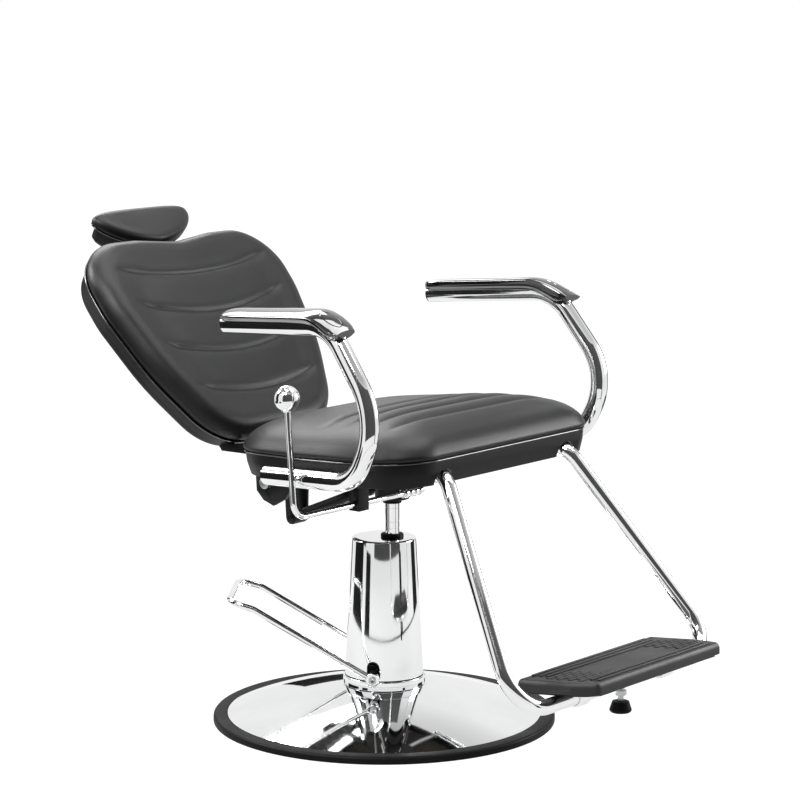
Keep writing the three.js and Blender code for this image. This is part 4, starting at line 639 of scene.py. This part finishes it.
def curved(points, steps=12, closed=False):
    """A smooth line through points of any width (centripetal Catmull-Rom)."""
    points = np.array(points, float)
    if closed:
        points = np.vstack([points[-1:], points, points[:2]])
    else:
        points = np.vstack([2 * points[:1] - points[1:2], points, 2 * points[-1:] - points[-2:-1]])
    line = []
    for p0, p1, p2, p3 in zip(points, points[1:], points[2:], points[3:]):
        t0 = 0
        t1 = t0 + np.linalg.norm(p1 - p0) ** 0.5
        t2 = t1 + np.linalg.norm(p2 - p1) ** 0.5
        t3 = t2 + np.linalg.norm(p3 - p2) ** 0.5
        for t in np.linspace(t1, t2, steps, endpoint=False):
            a1 = p0 * (t1 - t) / (t1 - t0) + p1 * (t - t0) / (t1 - t0)
            a2 = p1 * (t2 - t) / (t2 - t1) + p2 * (t - t1) / (t2 - t1)
            a3 = p2 * (t3 - t) / (t3 - t2) + p3 * (t - t2) / (t3 - t2)
            b1 = a1 * (t2 - t) / (t2 - t0) + a2 * (t - t0) / (t2 - t0)
            b2 = a2 * (t3 - t) / (t3 - t1) + a3 * (t - t1) / (t3 - t1)
            line.append(b1 * (t2 - t) / (t2 - t1) + b2 * (t - t1) / (t2 - t1))
    if not closed:
        line.append(points[-2])
    return np.array(line)


def outline(half):
    """Corners of (x, y, radius) on the right, from bottom to top, mirrored and rounded."""
    mirrored = [(-x, y, bend) for x, y, bend in reversed(half) if x > 0]
    return fillet([*half, *mirrored], 24)


def smoothstep(value, low, high):
    share = np.clip((value - low) / (high - low), 0, 1)
    return share * share * (3 - 2 * share)


SEAM_GAP = 0.3  # between a padding and the shell's edge


class Padding:
    """A stuffed form. The profile gives distance in from the seam and height over it."""

    def __init__(self, loop, centre, reach, profile, around=480, rows=110):
        self.centre = np.array(centre, float)
        self.reach = reach
        self.loop = spaced(loop, around)
        self.rows = spaced(curved(profile), rows, closed=False)

    def mesh(self, name, shape):
        """Shape takes x, y, height and distance in, as arrays, and gives the heights."""
        layers = []
        for distance, height in self.rows:
            share = min(distance / self.reach, 1)
            flat = self.loop + (self.centre - self.loop) * share
            tall = shape(flat[:, 0], flat[:, 1], np.full(len(flat), height), distance)
            layers.append(np.column_stack([flat, tall + SEAM_GAP]))
        return lofted(name, [[tuple(p) for p in layer] for layer in layers])


def groove(distance, width):
    """A stitched channel: a narrow valley with soft shoulders, 1 deep at its middle."""
    share = np.abs(distance) / width
    return 0.62 * np.exp(-(share * 2.6) ** 1.3) + 0.38 * np.exp(-(share * 0.95) ** 2)


# ---- Seat.
SEAT_CORNERS = [(270, -252, 80), (272, -60, 900), (232, 186, 125)]
SEAT_PROFILE = [
    (0, 0), (-3, 6), (0, 14), (8, 26), (22, 38), (45, 49), (85, 59), (140, 65), (244, 68),
]
SEAT_CHANNELS = (-174, -128, -82, -36)
SEAT_CHANNEL_PITCH, SEAT_CHANNEL_DEPTH, SEAT_CHANNEL_WIDTH = 46, 4.8, 10
SEAT_MIDDLE, SEAT_REACH = (0, -33), 244.5  # where the rows of its padding draw together, and how far in
PIPING_STEPS = 420


def inset(loop, distance):
    """A closed loop of (x, y) moved in at right angles to itself."""
    before, after = np.roll(loop, 1, axis=0), np.roll(loop, -1, axis=0)
    along = after - before
    along /= np.linalg.norm(along, axis=1)[:, None]
    return loop + distance * np.column_stack([-along[:, 1], along[:, 0]])


def wall_along(name, loop, section, wrap=True):
    """A wall along a closed loop of (x, y). The section gives distance in and height."""
    rows = [[(x, y, height) for x, y in inset(loop, distance)] for distance, height in section]
    return lofted(name, rows, wrap)


def shell(name, corners, section, count=300, wrap=True):
    return wall_along(name, spaced(outline(corners), count), section, wrap)


def bead(radius, distance, height):
    """The round section of a piping, as (distance in, height)."""
    turns = np.linspace(0, 2 * math.pi, 14)[:-1]
    return [(distance + radius * math.cos(a), height + radius * math.sin(a)) for a in turns]


def seat_shape(x, y, height, distance):
    """The crown falls toward the rear, and four channels cross the front half."""
    tall = height * (1 - 0.12 * smoothstep(y, -120, 70))
    flat = smoothstep(distance, 14, 55)
    fade = 1 - smoothstep(np.abs(x), 150, 236)
    for middle in SEAT_CHANNELS:
        tall -= SEAT_CHANNEL_DEPTH * flat * fade * groove(y - middle, SEAT_CHANNEL_WIDTH)
    bulge = np.cos((y - SEAT_CHANNELS[0]) / SEAT_CHANNEL_PITCH * 2 * math.pi)
    inside = smoothstep(y, -205, -180) * (1 - smoothstep(y, -30, -5))
    return tall - 0.5 * bulge * inside * flat * fade


def make_seat():
    padding = Padding(outline(SEAT_CORNERS), SEAT_MIDDLE, SEAT_REACH, SEAT_PROFILE)
    cushion = moved(padding.mesh("seat_padding", seat_shape), SEAT)
    fitted(cushion, "seat", "vinyl", ["seat_cushion"], angle=PADDED_ANGLE)
    section = fillet([
        (8, -42, 0.8), (2, -21, 30), (0, 0, 1), (3, 0, 0.8), (3, -12.3, 0), (23, -12.3, 0.8),
        (23, -15.3, 0.8), (5, -15.3, 0), (11, -42, 0.8),
    ], 4)
    skirt = shell("skirt", SEAT_CORNERS, section)
    piping = moved(shell("seat_piping", SEAT_CORNERS, bead(1.2, -0.9, -1.4), PIPING_STEPS), SEAT)
    fitted(piping, "seat", "gloss_plastic", angle=PADDED_ANGLE)
    cutters = []
    for _, side in SIDES:
        arch = fillet([(-23.5, -60, 0), (23.5, -60, 0), (23.5, -18, 22), (-23.5, -18, 22)], 10)
        cutter = upright("notch", arch, -254, -234)
        cutters.append(moved(cutter, place(side * FOOT_HALF_WIDTH, turn=90, axis="Z")))
        for y in ARM_RODS.values():
            hole = revolved("hole", [(11, 225), (11, 280)], 40)
            where = SEAT.inverted() @ Vector((0, y, arm_run(y)))
            cutters.append(moved(hole, place(y=where.y, z=where.z) @ place(turn=90 * side, axis="Y")))
    carved(skirt, *cutters)
    fitted(moved(skirt, SEAT), "seat", "satin_plastic", ["seat_shell"])


# ---- Armrests, each in an upright plane that opens toward the front.
ARM_RADIUS = 15.9
ARM_REAR, ARM_FRONT = (134, 715), (-122, 735)  # ends of the run under the pad, as (y, z)
ARM_FOOT, ARM_LAST = (-178, 484), (35, 470)  # ends of the run beside the seat
ARM_LINE = [(*ARM_REAR, 0), (*ARM_FRONT, 80), (-233, 592, 110), (*ARM_FOOT, 70), (*ARM_LAST, 0)]
ARM_RODS = {"front": -92, "rear": 18}
PAD_HALF_WIDTH = 28.5
ARM_STATIONS = [(130, 0.76), (123, 0.92), (110, 1), (60, 1), (10, 1), (-40, 1)]
ARM_NOSE = [
    (-92, 735, 759, 1), (-120, 724, 753, 1), (-139, 715, 745, 0.97), (-151, 718, 738, 0.9),
    (-159, 722, 732, 0.76),
]
# The pad's section as (outward, up): an upright inner side, and a top that slopes outward.
ARM_SECTION = [
    (-0.62, 0), (-0.78, 0.2), (-0.97, 0.4), (-1, 0.72), (-0.9, 0.94), (-0.55, 1.0), (-0.1, 0.98),
    (0.38, 0.87), (0.78, 0.68), (0.98, 0.5), (1.0, 0.36), (0.8, 0.14), (0.62, 0),
]


def arm_plane(y):
    """How far out the left arm's plane is at y."""
    return 290.5 - y * math.tan(math.radians(7))


def arm_run(y):
    """The height of the arm's lower run at y."""
    (y0, z0), (y1, z1) = ARM_FOOT, ARM_LAST
    return z0 - (z0 - z1) * (y - y0) / (y1 - y0)


def arm_line(side):
    return rod_line([(side * arm_plane(y), y, z, bend) for y, z, bend in ARM_LINE], 20)


def arm_pad(side):
    (y0, z0), (y1, z1) = ARM_REAR, ARM_FRONT
    stations = []
    for y, share in ARM_STATIONS:
        top = z0 + (z1 - z0) / (y1 - y0) * (y - y0) + ARM_RADIUS
        stations.append((y, top - 10, top + 11 * share, share))
    section = curved([(side * x, z) for x, z in ARM_SECTION], 5, closed=True)
    rows = []
    for y, low, high, share in curved(stations + ARM_NOSE, 9):
        middle = side * arm_plane(y)
        rows.append([(middle + x * PAD_HALF_WIDTH * share, y, low + z * (high - low)) for x, z in section])
    pad = lofted("arm_cap", rows)
    return carved(pad, swept("room", arm_line(side), ARM_RADIUS + 0.6, 40))


OVAL_MIDDLE_Y, OVAL_HALF_LENGTH, OVAL_HALF_WIDTH = -126, 24, 12
OVAL_POINTS, OVAL_DEPTH = 64, 1.1


def oval_line(pad, side):
    """A fine moulded line round the nose's top: a ring of points on the pad, and a cutter along them."""
    bpy.context.view_layer.update()
    spots = []
    for a in (2 * math.pi * i / OVAL_POINTS for i in range(OVAL_POINTS)):
        y = OVAL_MIDDLE_Y + OVAL_HALF_LENGTH * math.cos(a)
        x = side * (arm_plane(y) + 3 + OVAL_HALF_WIDTH * math.sin(a))
        found, spot, facing, _ = pad.ray_cast(Vector((x, y, 900)) * MM, Vector((0, 0, -1)))
        if found:
            spots.append((spot / MM, facing))
    turns = [2 * math.pi * k / 8 for k in range(8)]
    rows = []
    for i, (spot, facing) in enumerate(spots):
        way = (spots[(i + 1) % len(spots)][0] - spots[i - 1][0]).normalized()
        across = way.cross(facing)
        rows.append([spot + (facing * math.cos(t) + across * math.sin(t)) * OVAL_DEPTH for t in turns])
    return lofted("oval", rows, wrap=True)


def make_arms():
    for name, side in SIDES:
        tube = swept("arm_" + name, arm_line(side), ARM_RADIUS, 44)
        end, bend = (Vector((side * arm_plane(y), y, z)) for y, z in (ARM_REAR, ARM_FRONT))
        way = (end - bend).normalized()
        turn = Vector((0, 0, 1)).rotation_difference(way).to_matrix().to_4x4()
        mouth = Matrix.Translation(end) @ turn
        bore = moved(revolved("bore", [(14, -14), (14, 5)], 44), mouth)
        fitted(carved(tube, bore), "seat", "chrome", ["arm_tube_" + name])
        plug = revolved("arm_end_" + name, fillet([
            (5, -12, 0), (13, -12, 1), (13.4, 0.3, 0), (15.2, 0.3, 0.5), (15.2, 3, 1.6), (5, 3, 0),
        ], 5, closed=False), 44)
        fitted(moved(plug, mouth), "seat", "gloss_plastic", ["arm_plug_" + name])
        cap = arm_pad(side)
        carved(cap, oval_line(cap, side))
        cap.name = "arm_cap_" + name
        fitted(cap, "seat", "gloss_plastic", ["arm_pad_" + name])
    for end, y in ARM_RODS.items():
        reach = arm_plane(y) - ARM_RADIUS - 0.3
        corners = [(3, -reach, 0), (8, -reach, 0.5), (8, reach, 0.5), (3, reach, 0)]
        rod = revolved("cross_rod", fillet(corners, 3, closed=False), 40)
        rings = []
        for _, side in SIDES:
            corners = [(8.2, 117.8, 0), (13, 117.8, 0.8), (13, 125.5, 0.8), (8.2, 125.5, 0)]
            rings.append(moved(ring_mesh("washer", corners, 40), place(turn=90 * side - 90)))
        whole = joined("cross_rod_" + end, rod, *rings)
        moved(whole, place(y=y, z=arm_run(y)) @ ALONG_X)
        fitted(whole, "seat", "steel", ["arm_rod_" + end])


# ---- Footrest: a bent tube with a rubber tread clamped across it.
FOOT_RADIUS = 12.7
FOOT_HALF_WIDTH = 168.9  # where the tube leaves the skirt
FOOT_Y, FOOT_Z = -487, 145
TREAD = place(y=FOOT_Y, z=FOOT_Z, turn=-5.9)


def foot_level(y):
    """The height of the tube's run under the seat at y."""
    tilt = math.radians(SEAT_TILT)
    return SEAM_HEIGHT - y * math.tan(tilt) - 29.6 / math.cos(tilt)


def brick_nodes():
    """Geometry nodes that lay a patch of bricks, each second row shifted by half a brick."""
    tree = bpy.data.node_groups.new("bricks", "GeometryNodeTree")
    tree.interface.new_socket("Geometry", in_out="OUTPUT", socket_type="NodeSocketGeometry")
    inputs = (
        ("Columns", "NodeSocketInt", 3), ("Rows", "NodeSocketInt", 7),
        ("Pitch X", "NodeSocketFloat", 0.02), ("Pitch Y", "NodeSocketFloat", 0.0105),
        ("Height", "NodeSocketFloat", 0.0016), ("Gap", "NodeSocketFloat", 0.0022),
        ("Seed", "NodeSocketInt", 4), ("Finish", "NodeSocketMaterial", None),
    )
    for name, kind, value in inputs:
        socket = tree.interface.new_socket(name, in_out="INPUT", socket_type=kind)
        if value is not None:
            socket.default_value = value
    patch = Nodes(tree)
    enter = tree.nodes.new("NodeGroupInput")
    columns, rows, pitch_x, pitch_y, height, gap, seed, finish = (
        Value(patch, enter.outputs[name]) for name, _, _ in inputs)
    index = patch.node("GeometryNodeInputIndex", {}, {})
    column = patch.math("MODULO", index, columns)
    row = patch.math("FLOOR", patch.math("DIVIDE", index, columns))
    shifted = column + patch.math("MODULO", row, 2) * 0.5
    across = (shifted - (columns - 0.5) * 0.5) * pitch_x
    along = (row - (rows - 1) * 0.5) * pitch_y
    where = patch.node("ShaderNodeCombineXYZ", {}, {"X": across, "Y": along})
    points = patch.node("GeometryNodePoints", {}, {"Count": columns * rows})
    spread = patch.node("GeometryNodeSetPosition", {}, {"Geometry": points, "Position": where})
    sides = {"X": pitch_x - gap, "Y": pitch_y - gap, "Z": height}
    size = patch.node("ShaderNodeCombineXYZ", {}, sides)
    brick = patch.node("GeometryNodeMeshCube", {}, {"Size": size})
    lowest_highest = {2: 0.9, 3: 1.06, "Seed": seed}
    heights = patch.node("FunctionNodeRandomValue", {"data_type": "FLOAT"}, lowest_highest, 1)
    scale = patch.node("ShaderNodeCombineXYZ", {}, {"X": 1, "Y": 1, "Z": heights})
    laying = {"Points": spread, "Instance": brick, "Scale": scale}
    laid = patch.node("GeometryNodeInstanceOnPoints", {}, laying)
    real = patch.node("GeometryNodeRealizeInstances", {}, {"Geometry": laid})
    finished = patch.node("GeometryNodeSetMaterial", {}, {"Geometry": real, "Material": finish})
    leave = tree.nodes.new("NodeGroupOutput")
    patch.give(leave.inputs[0], finished)
    return tree


def laid_bricks(tree, finish):
    """One patch of bricks about the origin, as a plain mesh."""
    patch = bpy.data.objects.new("patch", bpy.data.meshes.new("patch"))
    bpy.context.scene.collection.objects.link(patch)
    lay = patch.modifiers.new("bricks", "NODES")
    lay.node_group = tree
    lay[tree.interface.items_tree["Finish"].identifier] = finish
    return settled(patch)


TREAD_CORNERS = [(177, -83.3, 9), (191, -38, 10), (191, 70.5, 9)]
RIBS = (58.5, 44.5, 30.5, -71.3, -57.3)  # their places in y
PATCH_X, PATCH_Y = 138, -13  # the middle of the left patch on the tread
TREAD_TOP = 36.9


def make_footrest():
    half = [
        (150, -128, foot_level(-128), 0), (FOOT_HALF_WIDTH, -252, foot_level(-252), 42),
        (289, FOOT_Y, FOOT_Z, 62),
    ]
    tube = swept("foot_tube", rod_line(both_sides(half), 18), FOOT_RADIUS, 40)
    fitted(tube, "seat", "chrome", ["footrest_tube"])

    edge = fillet([(0.8, 16.9, 1.5), (0, 30, 12), (4, TREAD_TOP, 5), (14, TREAD_TOP, 0), (14, 16.9, 0)], 6)
    edge = [edge[-1], *edge[:-1]]
    mat = shell("tread", TREAD_CORNERS, edge, 240, wrap=False)
    ribs = []
    for y in RIBS:
        ribs.append(block("rib", (-160, y - 3, TREAD_TOP - 0.4), (160, y + 3, TREAD_TOP + 2.5), 1.1))
    tree = brick_nodes()
    patches = []
    for _, side in SIDES:
        middle = place(side * PATCH_X, PATCH_Y, TREAD_TOP + 0.3)
        patches.append(moved(laid_bricks(tree, TREAD_RUBBER), middle))
    tread = moved(joined("tread", mat, *ribs, *patches), TREAD)
    fitted(tread, "seat", "rubber", ["tread_mat"], TREAD_RUBBER)

    for name, _ in SIDES:
        refined("tread_clamp_" + name, 0.8)
    cup = revolved("bumper", fillet([
        (4, 93.5, 0), (16, 93.5, 1), (18.5, 96, 1), (18.5, 98.5, 1.5), (14, 112, 1.2), (4, 112, 0),
    ], 4, closed=False), 48)
    fitted(moved(cup, place(y=FOOT_Y)), "seat", "rubber", ["bumper_cup"])
    stem = revolved("bumper_stem_finished", fillet([
        (2, 112.3, 0), (5, 112.3, 0.4), (5, 121.5, 0.3), (9.8, 122.6, 1), (9.8, 130.6, 0), (2, 130.6, 0),
    ], 4, closed=False), 32)
    fitted(moved(stem, place(y=FOOT_Y)), "seat", "steel", ["bumper_stem"])


# ---- Recline lever and gas spring.
LEVER_AXIS = (-55, 413)
KNOB_AT = (-320, -40, 611)
KNOB_RADIUS = 21.5
SLEEVE_LENGTH, SLEEVE_RIBS = 52, 4
GAS_EYE = (46, 404)  # the front eye, and from it to the rear eye
GAS_RUN, GAS_DROP = 174, 72
CYLINDER_LENGTH, CYLINDER_END = 138, 22


def make_lever():
    x, y, z = KNOB_AT
    corners = [(x, y, z, 0), (x, *LEVER_AXIS, 26), (12, *LEVER_AXIS, 0)]
    rod = swept("lever_bar", rod_line(corners, 14), 5.25)
    fitted(rod, "lever", "chrome", ["lever_rod"])
    ball = [(KNOB_RADIUS * math.cos(a), KNOB_RADIUS * math.sin(a)) for a in np.linspace(-1.18, 1.45, 40)]
    knob = revolved("knob", [(6, -22.5), (7.6, -22.2), (8, -20.6), *ball], 64)
    fitted(moved(knob, place(*KNOB_AT, 4.3)), "lever", "chrome", ["lever_knob"])
    pitch = SLEEVE_LENGTH / SLEEVE_RIBS
    section = [(5.6, 0, 0)]
    for foot in (pitch * i for i in range(SLEEVE_RIBS)):
        section += [(7.1, foot + 0.4, 0.5), (9, foot + 3.9, 1.2), (9, foot + 9.1, 1.2)]
    section += [(7.1, SLEEVE_LENGTH, 0.6), (5.6, SLEEVE_LENGTH, 0)]
    sleeve = ring_mesh("sleeve", section, 40)
    fitted(moved(sleeve, place(-40, *LEVER_AXIS) @ ALONG_X), "lever", "chrome", ["lever_sleeve"])


def make_gas_spring():
    span = math.hypot(GAS_RUN, GAS_DROP)
    lean = Matrix.Rotation(math.atan2(-GAS_DROP, GAS_RUN), 4, "X")
    gas = place(0, *GAS_EYE) @ lean @ place(turn=-90)
    foot = span - CYLINDER_END - CYLINDER_LENGTH
    bar = revolved("stem", [(4.5, 11), (5, 11.5), (5, foot + 60), (4, foot + 61)], 32)
    eye = moved(ring_mesh("eye", [(4.5, -5, 0.4), (12, -5, 1), (12, 5, 1), (4.5, 5, 0.4)], 40), ALONG_X)
    fitted(moved(joined("gas_stem", bar, eye), gas), "gas_rod", "chrome", ["gas_rod"])
    barrel = revolved("barrel", fillet([
        (5.4, foot, 0), (11, foot, 1.5), (11, foot + CYLINDER_LENGTH, 2), (7, foot + CYLINDER_LENGTH, 0),
        (7, span - 9, 0), (3, span - 9, 0),
    ], 4, closed=False), 40)
    tail = ring_mesh("eye", [(7, -11.5, 0.4), (12, -11.5, 1), (12, 11.5, 1), (7, 11.5, 0.4)], 40)
    tail = moved(tail, place(z=span) @ ALONG_X)
    fitted(moved(joined("gas_barrel", barrel, tail), gas), "gas_cylinder", "black_steel", ["gas_cylinder"])


# ---- Steel parts and boards keep the CAD model's form, with rounded edges.
def make_frame():
    for node in (
        "frame_rail_left", "frame_rail_right", "frame_cross_front", "frame_cross_rear", "mount_plate",
        "hinge_plate_left", "hinge_plate_right", "hinge_pin_left", "hinge_pin_right", "gas_bracket",
        "lever_clamp", "gas_yoke", "back_arm_left", "back_arm_right", "headrest_guide",
        "headrest_bracket", "headrest_post", "tread_plate", "seat_board", "back_board",
    ):
        refined(node)


make_seat()
make_frame()
make_arms()
make_footrest()
make_lever()
make_gas_spring()


# ---- Backrest. Its padding's frame has +Y up the back and +Z out of the face.
BACK_CORNERS = [
    (144, -92, 110), (214, 60, 400), (241, 190, 180), (241, 328, 94), (98, 328, 145), (0, 316, 145),
]
BACK_PROFILE = [
    (0, 0), (-4, 8), (-3, 18), (3, 28.5), (12, 36), (26, 39.5), (46, 39), (72, 37.5), (120, 39), (222, 39),
]
BACK_CHANNELS = ((239, 203, 28), (156, 191, 36), (71, 187, 36), (-13, 160, 26))  # middle, half length, rise
BACK_CHANNEL_DEPTH, BACK_CHANNEL_WIDTH = 5, 8.5
BACK_MIDDLE, BACK_REACH = (0, 119.5), 226.25
SHELL_WALL = 3


def back_shape(x, y, height, distance):
    """Four curved channels cross the face inside the bolster."""
    flat = smoothstep(distance, 6, 30)
    tall = height * (1 - 0.1 * smoothstep(y, 220, 320))
    for middle, half, rise in BACK_CHANNELS:
        fade = 1 - smoothstep(np.abs(x), half - 45, half + 8)
        slope = 2 * rise * x / half**2
        away = (y - middle - rise * (x / half) ** 2) / np.sqrt(1 + slope * slope)
        tall -= BACK_CHANNEL_DEPTH * flat * fade * groove(away, BACK_CHANNEL_WIDTH)
    return tall


def make_backrest():
    padding = Padding(outline(BACK_CORNERS), BACK_MIDDLE, BACK_REACH, BACK_PROFILE)
    cushion = moved(padding.mesh("back_padding", back_shape), BACK_PAD)
    fitted(cushion, "backrest", "vinyl", ["back_cushion"], angle=PADDED_ANGLE)
    piping = moved(shell("back_piping", BACK_CORNERS, bead(1.5, -1.6, -3.4), PIPING_STEPS), BACK_PAD)
    fitted(piping, "backrest", "gloss_plastic", angle=PADDED_ANGLE)

    rim = [(1.6, -2.4), (-0.4, -2.2), (-1.4, -3.2), (-1.2, -4.6)]
    outer = np.vstack([rim, curved([(0, -5.5), (7, -25), (14, -42), (28, -48), (70, -50)], 8)])
    inner = [(SHELL_WALL, -2.8)] + [(d + SHELL_WALL, z + SHELL_WALL) for d, z in outer if z < -6]
    wall = [tuple(p) for p in outer[::-1]] + inner
    back = shell("back_wall", BACK_CORNERS, wall, 360, wrap=False)
    cutters = []
    for x0, x1 in ((89, 101), (-101, -89)):
        cutters.append(block("slot", (x0, -94, -52), (x1, -65, 1)))
    cutters.append(block("mouth", (-30.3, 229.7, -32.6), (30.3, 331, -12)))
    carved(back, *cutters)
    fitted(moved(back, BACK_PAD), "backrest", "satin_plastic", ["back_shell"])


# ---- Headrest.
HEAD_HALF_WIDTH, HEAD_BELLY, HEAD_TOP = 116.5, 65.5, 18.5
HEAD_REACH = 78
HEAD_MIDDLE = (0, 33.5)
BOWL_MIDDLE = np.array((0, 44))
HEAD_PROFILE = [(0, 0), (-2.5, 4), (-2.5, 9), (0, 15), (6, 19.5), (17, 22), (34, 23), (62, 23.5), (76, 23.5)]


def head_outline():
    """A broad D: a nearly straight edge on top, round corners and a round belly."""
    loop = []
    for a in np.linspace(0, 2 * math.pi, 720, endpoint=False):
        height, power = (HEAD_TOP, 2 / 3.6) if a < math.pi else (HEAD_BELLY, 2 / 1.62)
        wide = math.copysign(abs(math.cos(a)) ** power, math.cos(a))
        tall = math.copysign(abs(math.sin(a)) ** power, math.sin(a))
        loop.append((HEAD_HALF_WIDTH * wide, 54 + height * tall))
    return spaced(loop, 360)


def make_headrest():
    loop = head_outline()
    padding = Padding(loop, HEAD_MIDDLE, HEAD_REACH, HEAD_PROFILE, 360, 60)
    cushion = moved(padding.mesh("head_padding", lambda x, y, height, distance: height), HEAD_PAD)
    fitted(cushion, "headrest", "vinyl", ["headrest_cushion"], angle=PADDED_ANGLE)
    piping = moved(wall_along("head_piping", loop, bead(1.3, -0.9, -1.4)), HEAD_PAD)
    fitted(piping, "headrest", "gloss_plastic", angle=PADDED_ANGLE)

    # The bowl's section, as shares of the way to its middle and heights.
    outer = [(0, 0), (0, -2.2), (0.10, -3.2), (0.12, -24), (0.18, -36), (0.36, -42.5), (0.75, -44)]
    outer = outer[:3] + [tuple(p) for p in curved(outer[2:], 8)[1:]]
    share = SHELL_WALL / HEAD_REACH
    inner = [(share, 0)] + [(s + share, z + SHELL_WALL) for s, z in outer if z < -4]
    rows = []
    for s, z in outer[::-1] + inner:
        rows.append([(x, y, z) for x, y in loop + (BOWL_MIDDLE - loop) * s])
    bowl = lofted("head_bowl", rows)
    carved(bowl, block("opening", (-27, -13.5, -46), (27, 30, -1.5)))
    fitted(moved(bowl, HEAD_PAD), "headrest", "satin_plastic", ["headrest_shell"])


make_backrest()
make_headrest()


# ---- What the CAD model still shows takes the same finishes.
def finish_kept_nodes():
    for node, holder in frame["nodes"].items():
        if not holder.hide_render:
            for held in holder.material_slots:
                held.material = FINISH_OF[SLOT_OF[node]]


finish_kept_nodes()


# ---- Studio. The camera sees plain white. Chrome sees a white floor, a room that darkens toward its
# ceiling, and dark cards, which are the black stripes in it. Sizes here are in metres.
FLOOR_LEVEL, FLOOR_HALF = -0.0006, 40
CARD_RADIUS, CARD_STEPS = 1.25, 24
BLACK, DARK_GREY = 0.006, 0.03
SPLIT = 0.26  # the height between the low cards and the upper ones
CARDS = (  # angles from the camera's side, lower and upper edge, and grey
    (-116, -74, 0, SPLIT, BLACK), (-62, -46, 0, SPLIT, BLACK), (51, 58.6, 0, SPLIT, BLACK),
    (106, 131, 0, SPLIT, BLACK), (148, 160, 0, SPLIT, BLACK), (178, 194, 0, SPLIT, BLACK),
    (-150, -140, 0, SPLIT, BLACK), (-74, 106, 0, 0.008, BLACK),
    (-92, -66, SPLIT, 1.75, BLACK), (-34, 56, SPLIT, 1.6, DARK_GREY), (122, 138, SPLIT, 1.3, BLACK),
    (-138, -122, SPLIT, 1.3, BLACK),
)
LIGHTS = (  # place, size and power
    ("overhead", (0.45, -0.25, 3.1), (1.8, 2.6), 80), ("left", (-2.15, -0.45, 2.75), (1.5, 1.1), 88),
    ("rear", (-1.5, 1.9, 2.3), (1.5, 0.9), 125), ("backdrop", (0.9, 1.9, 2.4), (1.8, 1.2), 48),
    ("right", (1.8, -1.3, 1.1), (0.9, 0.9), 36),
)
LIGHTS_AIM = (0, 0, 0.6)


def staged(name, points, faces, material):
    mesh = bpy.data.meshes.new(name)
    mesh.from_pydata(points, [], faces)
    mesh.materials.append(material)
    holder = bpy.data.objects.new(name, mesh)
    bpy.context.scene.collection.objects.link(holder)
    return holder


def matt(name, grey):
    finish = Finish(name, Roughness=0.9, Specular_IOR_Level=0.1)
    finish.feed("Base Color", (grey, grey, grey, 1))
    return finish


def make_floor():
    finish = matt("white_floor", 0.06)
    seen = finish.node("ShaderNodeLightPath", {}, {}, "Is Camera Ray")
    finish.feed("Emission Color", seen * 0.28 + 0.74)
    finish.feed("Emission Strength", 1)
    half = FLOOR_HALF
    corners = [(x, y, FLOOR_LEVEL) for x, y in ((-half, -half), (half, -half), (half, half), (-half, half))]
    staged("floor", corners, [(0, 1, 2, 3)], finish.material)


def make_card(name, first, last, low, high, material):
    """An upright card round the object, between two angles in degrees from the camera's side."""
    towards = math.atan2(CAMERA_AT[1], CAMERA_AT[0])
    angles = [towards + math.radians(first + (last - first) * i / CARD_STEPS) for i in range(CARD_STEPS + 1)]
    points = [
        (CARD_RADIUS * math.cos(a), CARD_RADIUS * math.sin(a), z) for a in angles for z in (low, high)]
    faces = [(2 * i, 2 * i + 2, 2 * i + 3, 2 * i + 1) for i in range(CARD_STEPS)]
    card = staged(name, points, faces, material)
    card.visible_camera = card.visible_diffuse = card.visible_shadow = False


def soft_light(name, where, size, power):
    light = bpy.data.lights.new(name, "AREA")
    light.shape = "RECTANGLE"
    light.size, light.size_y = size
    light.energy = power
    holder = bpy.data.objects.new(name, light)
    holder.location = where
    holder.rotation_euler = (Vector(LIGHTS_AIM) - Vector(where)).to_track_quat("-Z", "Y").to_euler()
    bpy.context.scene.collection.objects.link(holder)


def make_room():
    world = bpy.data.worlds.new("studio")
    world.use_nodes = True
    room = Nodes(world.node_tree)
    where = room.node("ShaderNodeTexCoord", {}, {}, "Generated")
    height = room.node("ShaderNodeSeparateXYZ", {}, {0: where}, "Z")
    grade = {"Value": height, "From Min": 0.55, "From Max": 0.95, "To Min": 0.88, "To Max": 0.24}
    light = room.node("ShaderNodeMapRange", {}, grade)
    seen = room.node("ShaderNodeLightPath", {}, {}, "Is Camera Ray")
    background = world.node_tree.nodes["Background"]
    background.inputs["Color"].default_value = (1, 1, 1, 1)
    room.give(background.inputs["Strength"], room.math("MAXIMUM", light, seen))
    bpy.context.scene.world = world
    bpy.context.scene.view_settings.view_transform = "Standard"


def make_studio():
    make_room()
    make_floor()
    for number, (first, last, low, high, grey) in enumerate(CARDS):
        dark = matt(f"card_grey_{number}", grey).material
        make_card(f"card_{number}", first, last, low, high, dark)
    for light in LIGHTS:
        soft_light(*light)


make_studio()
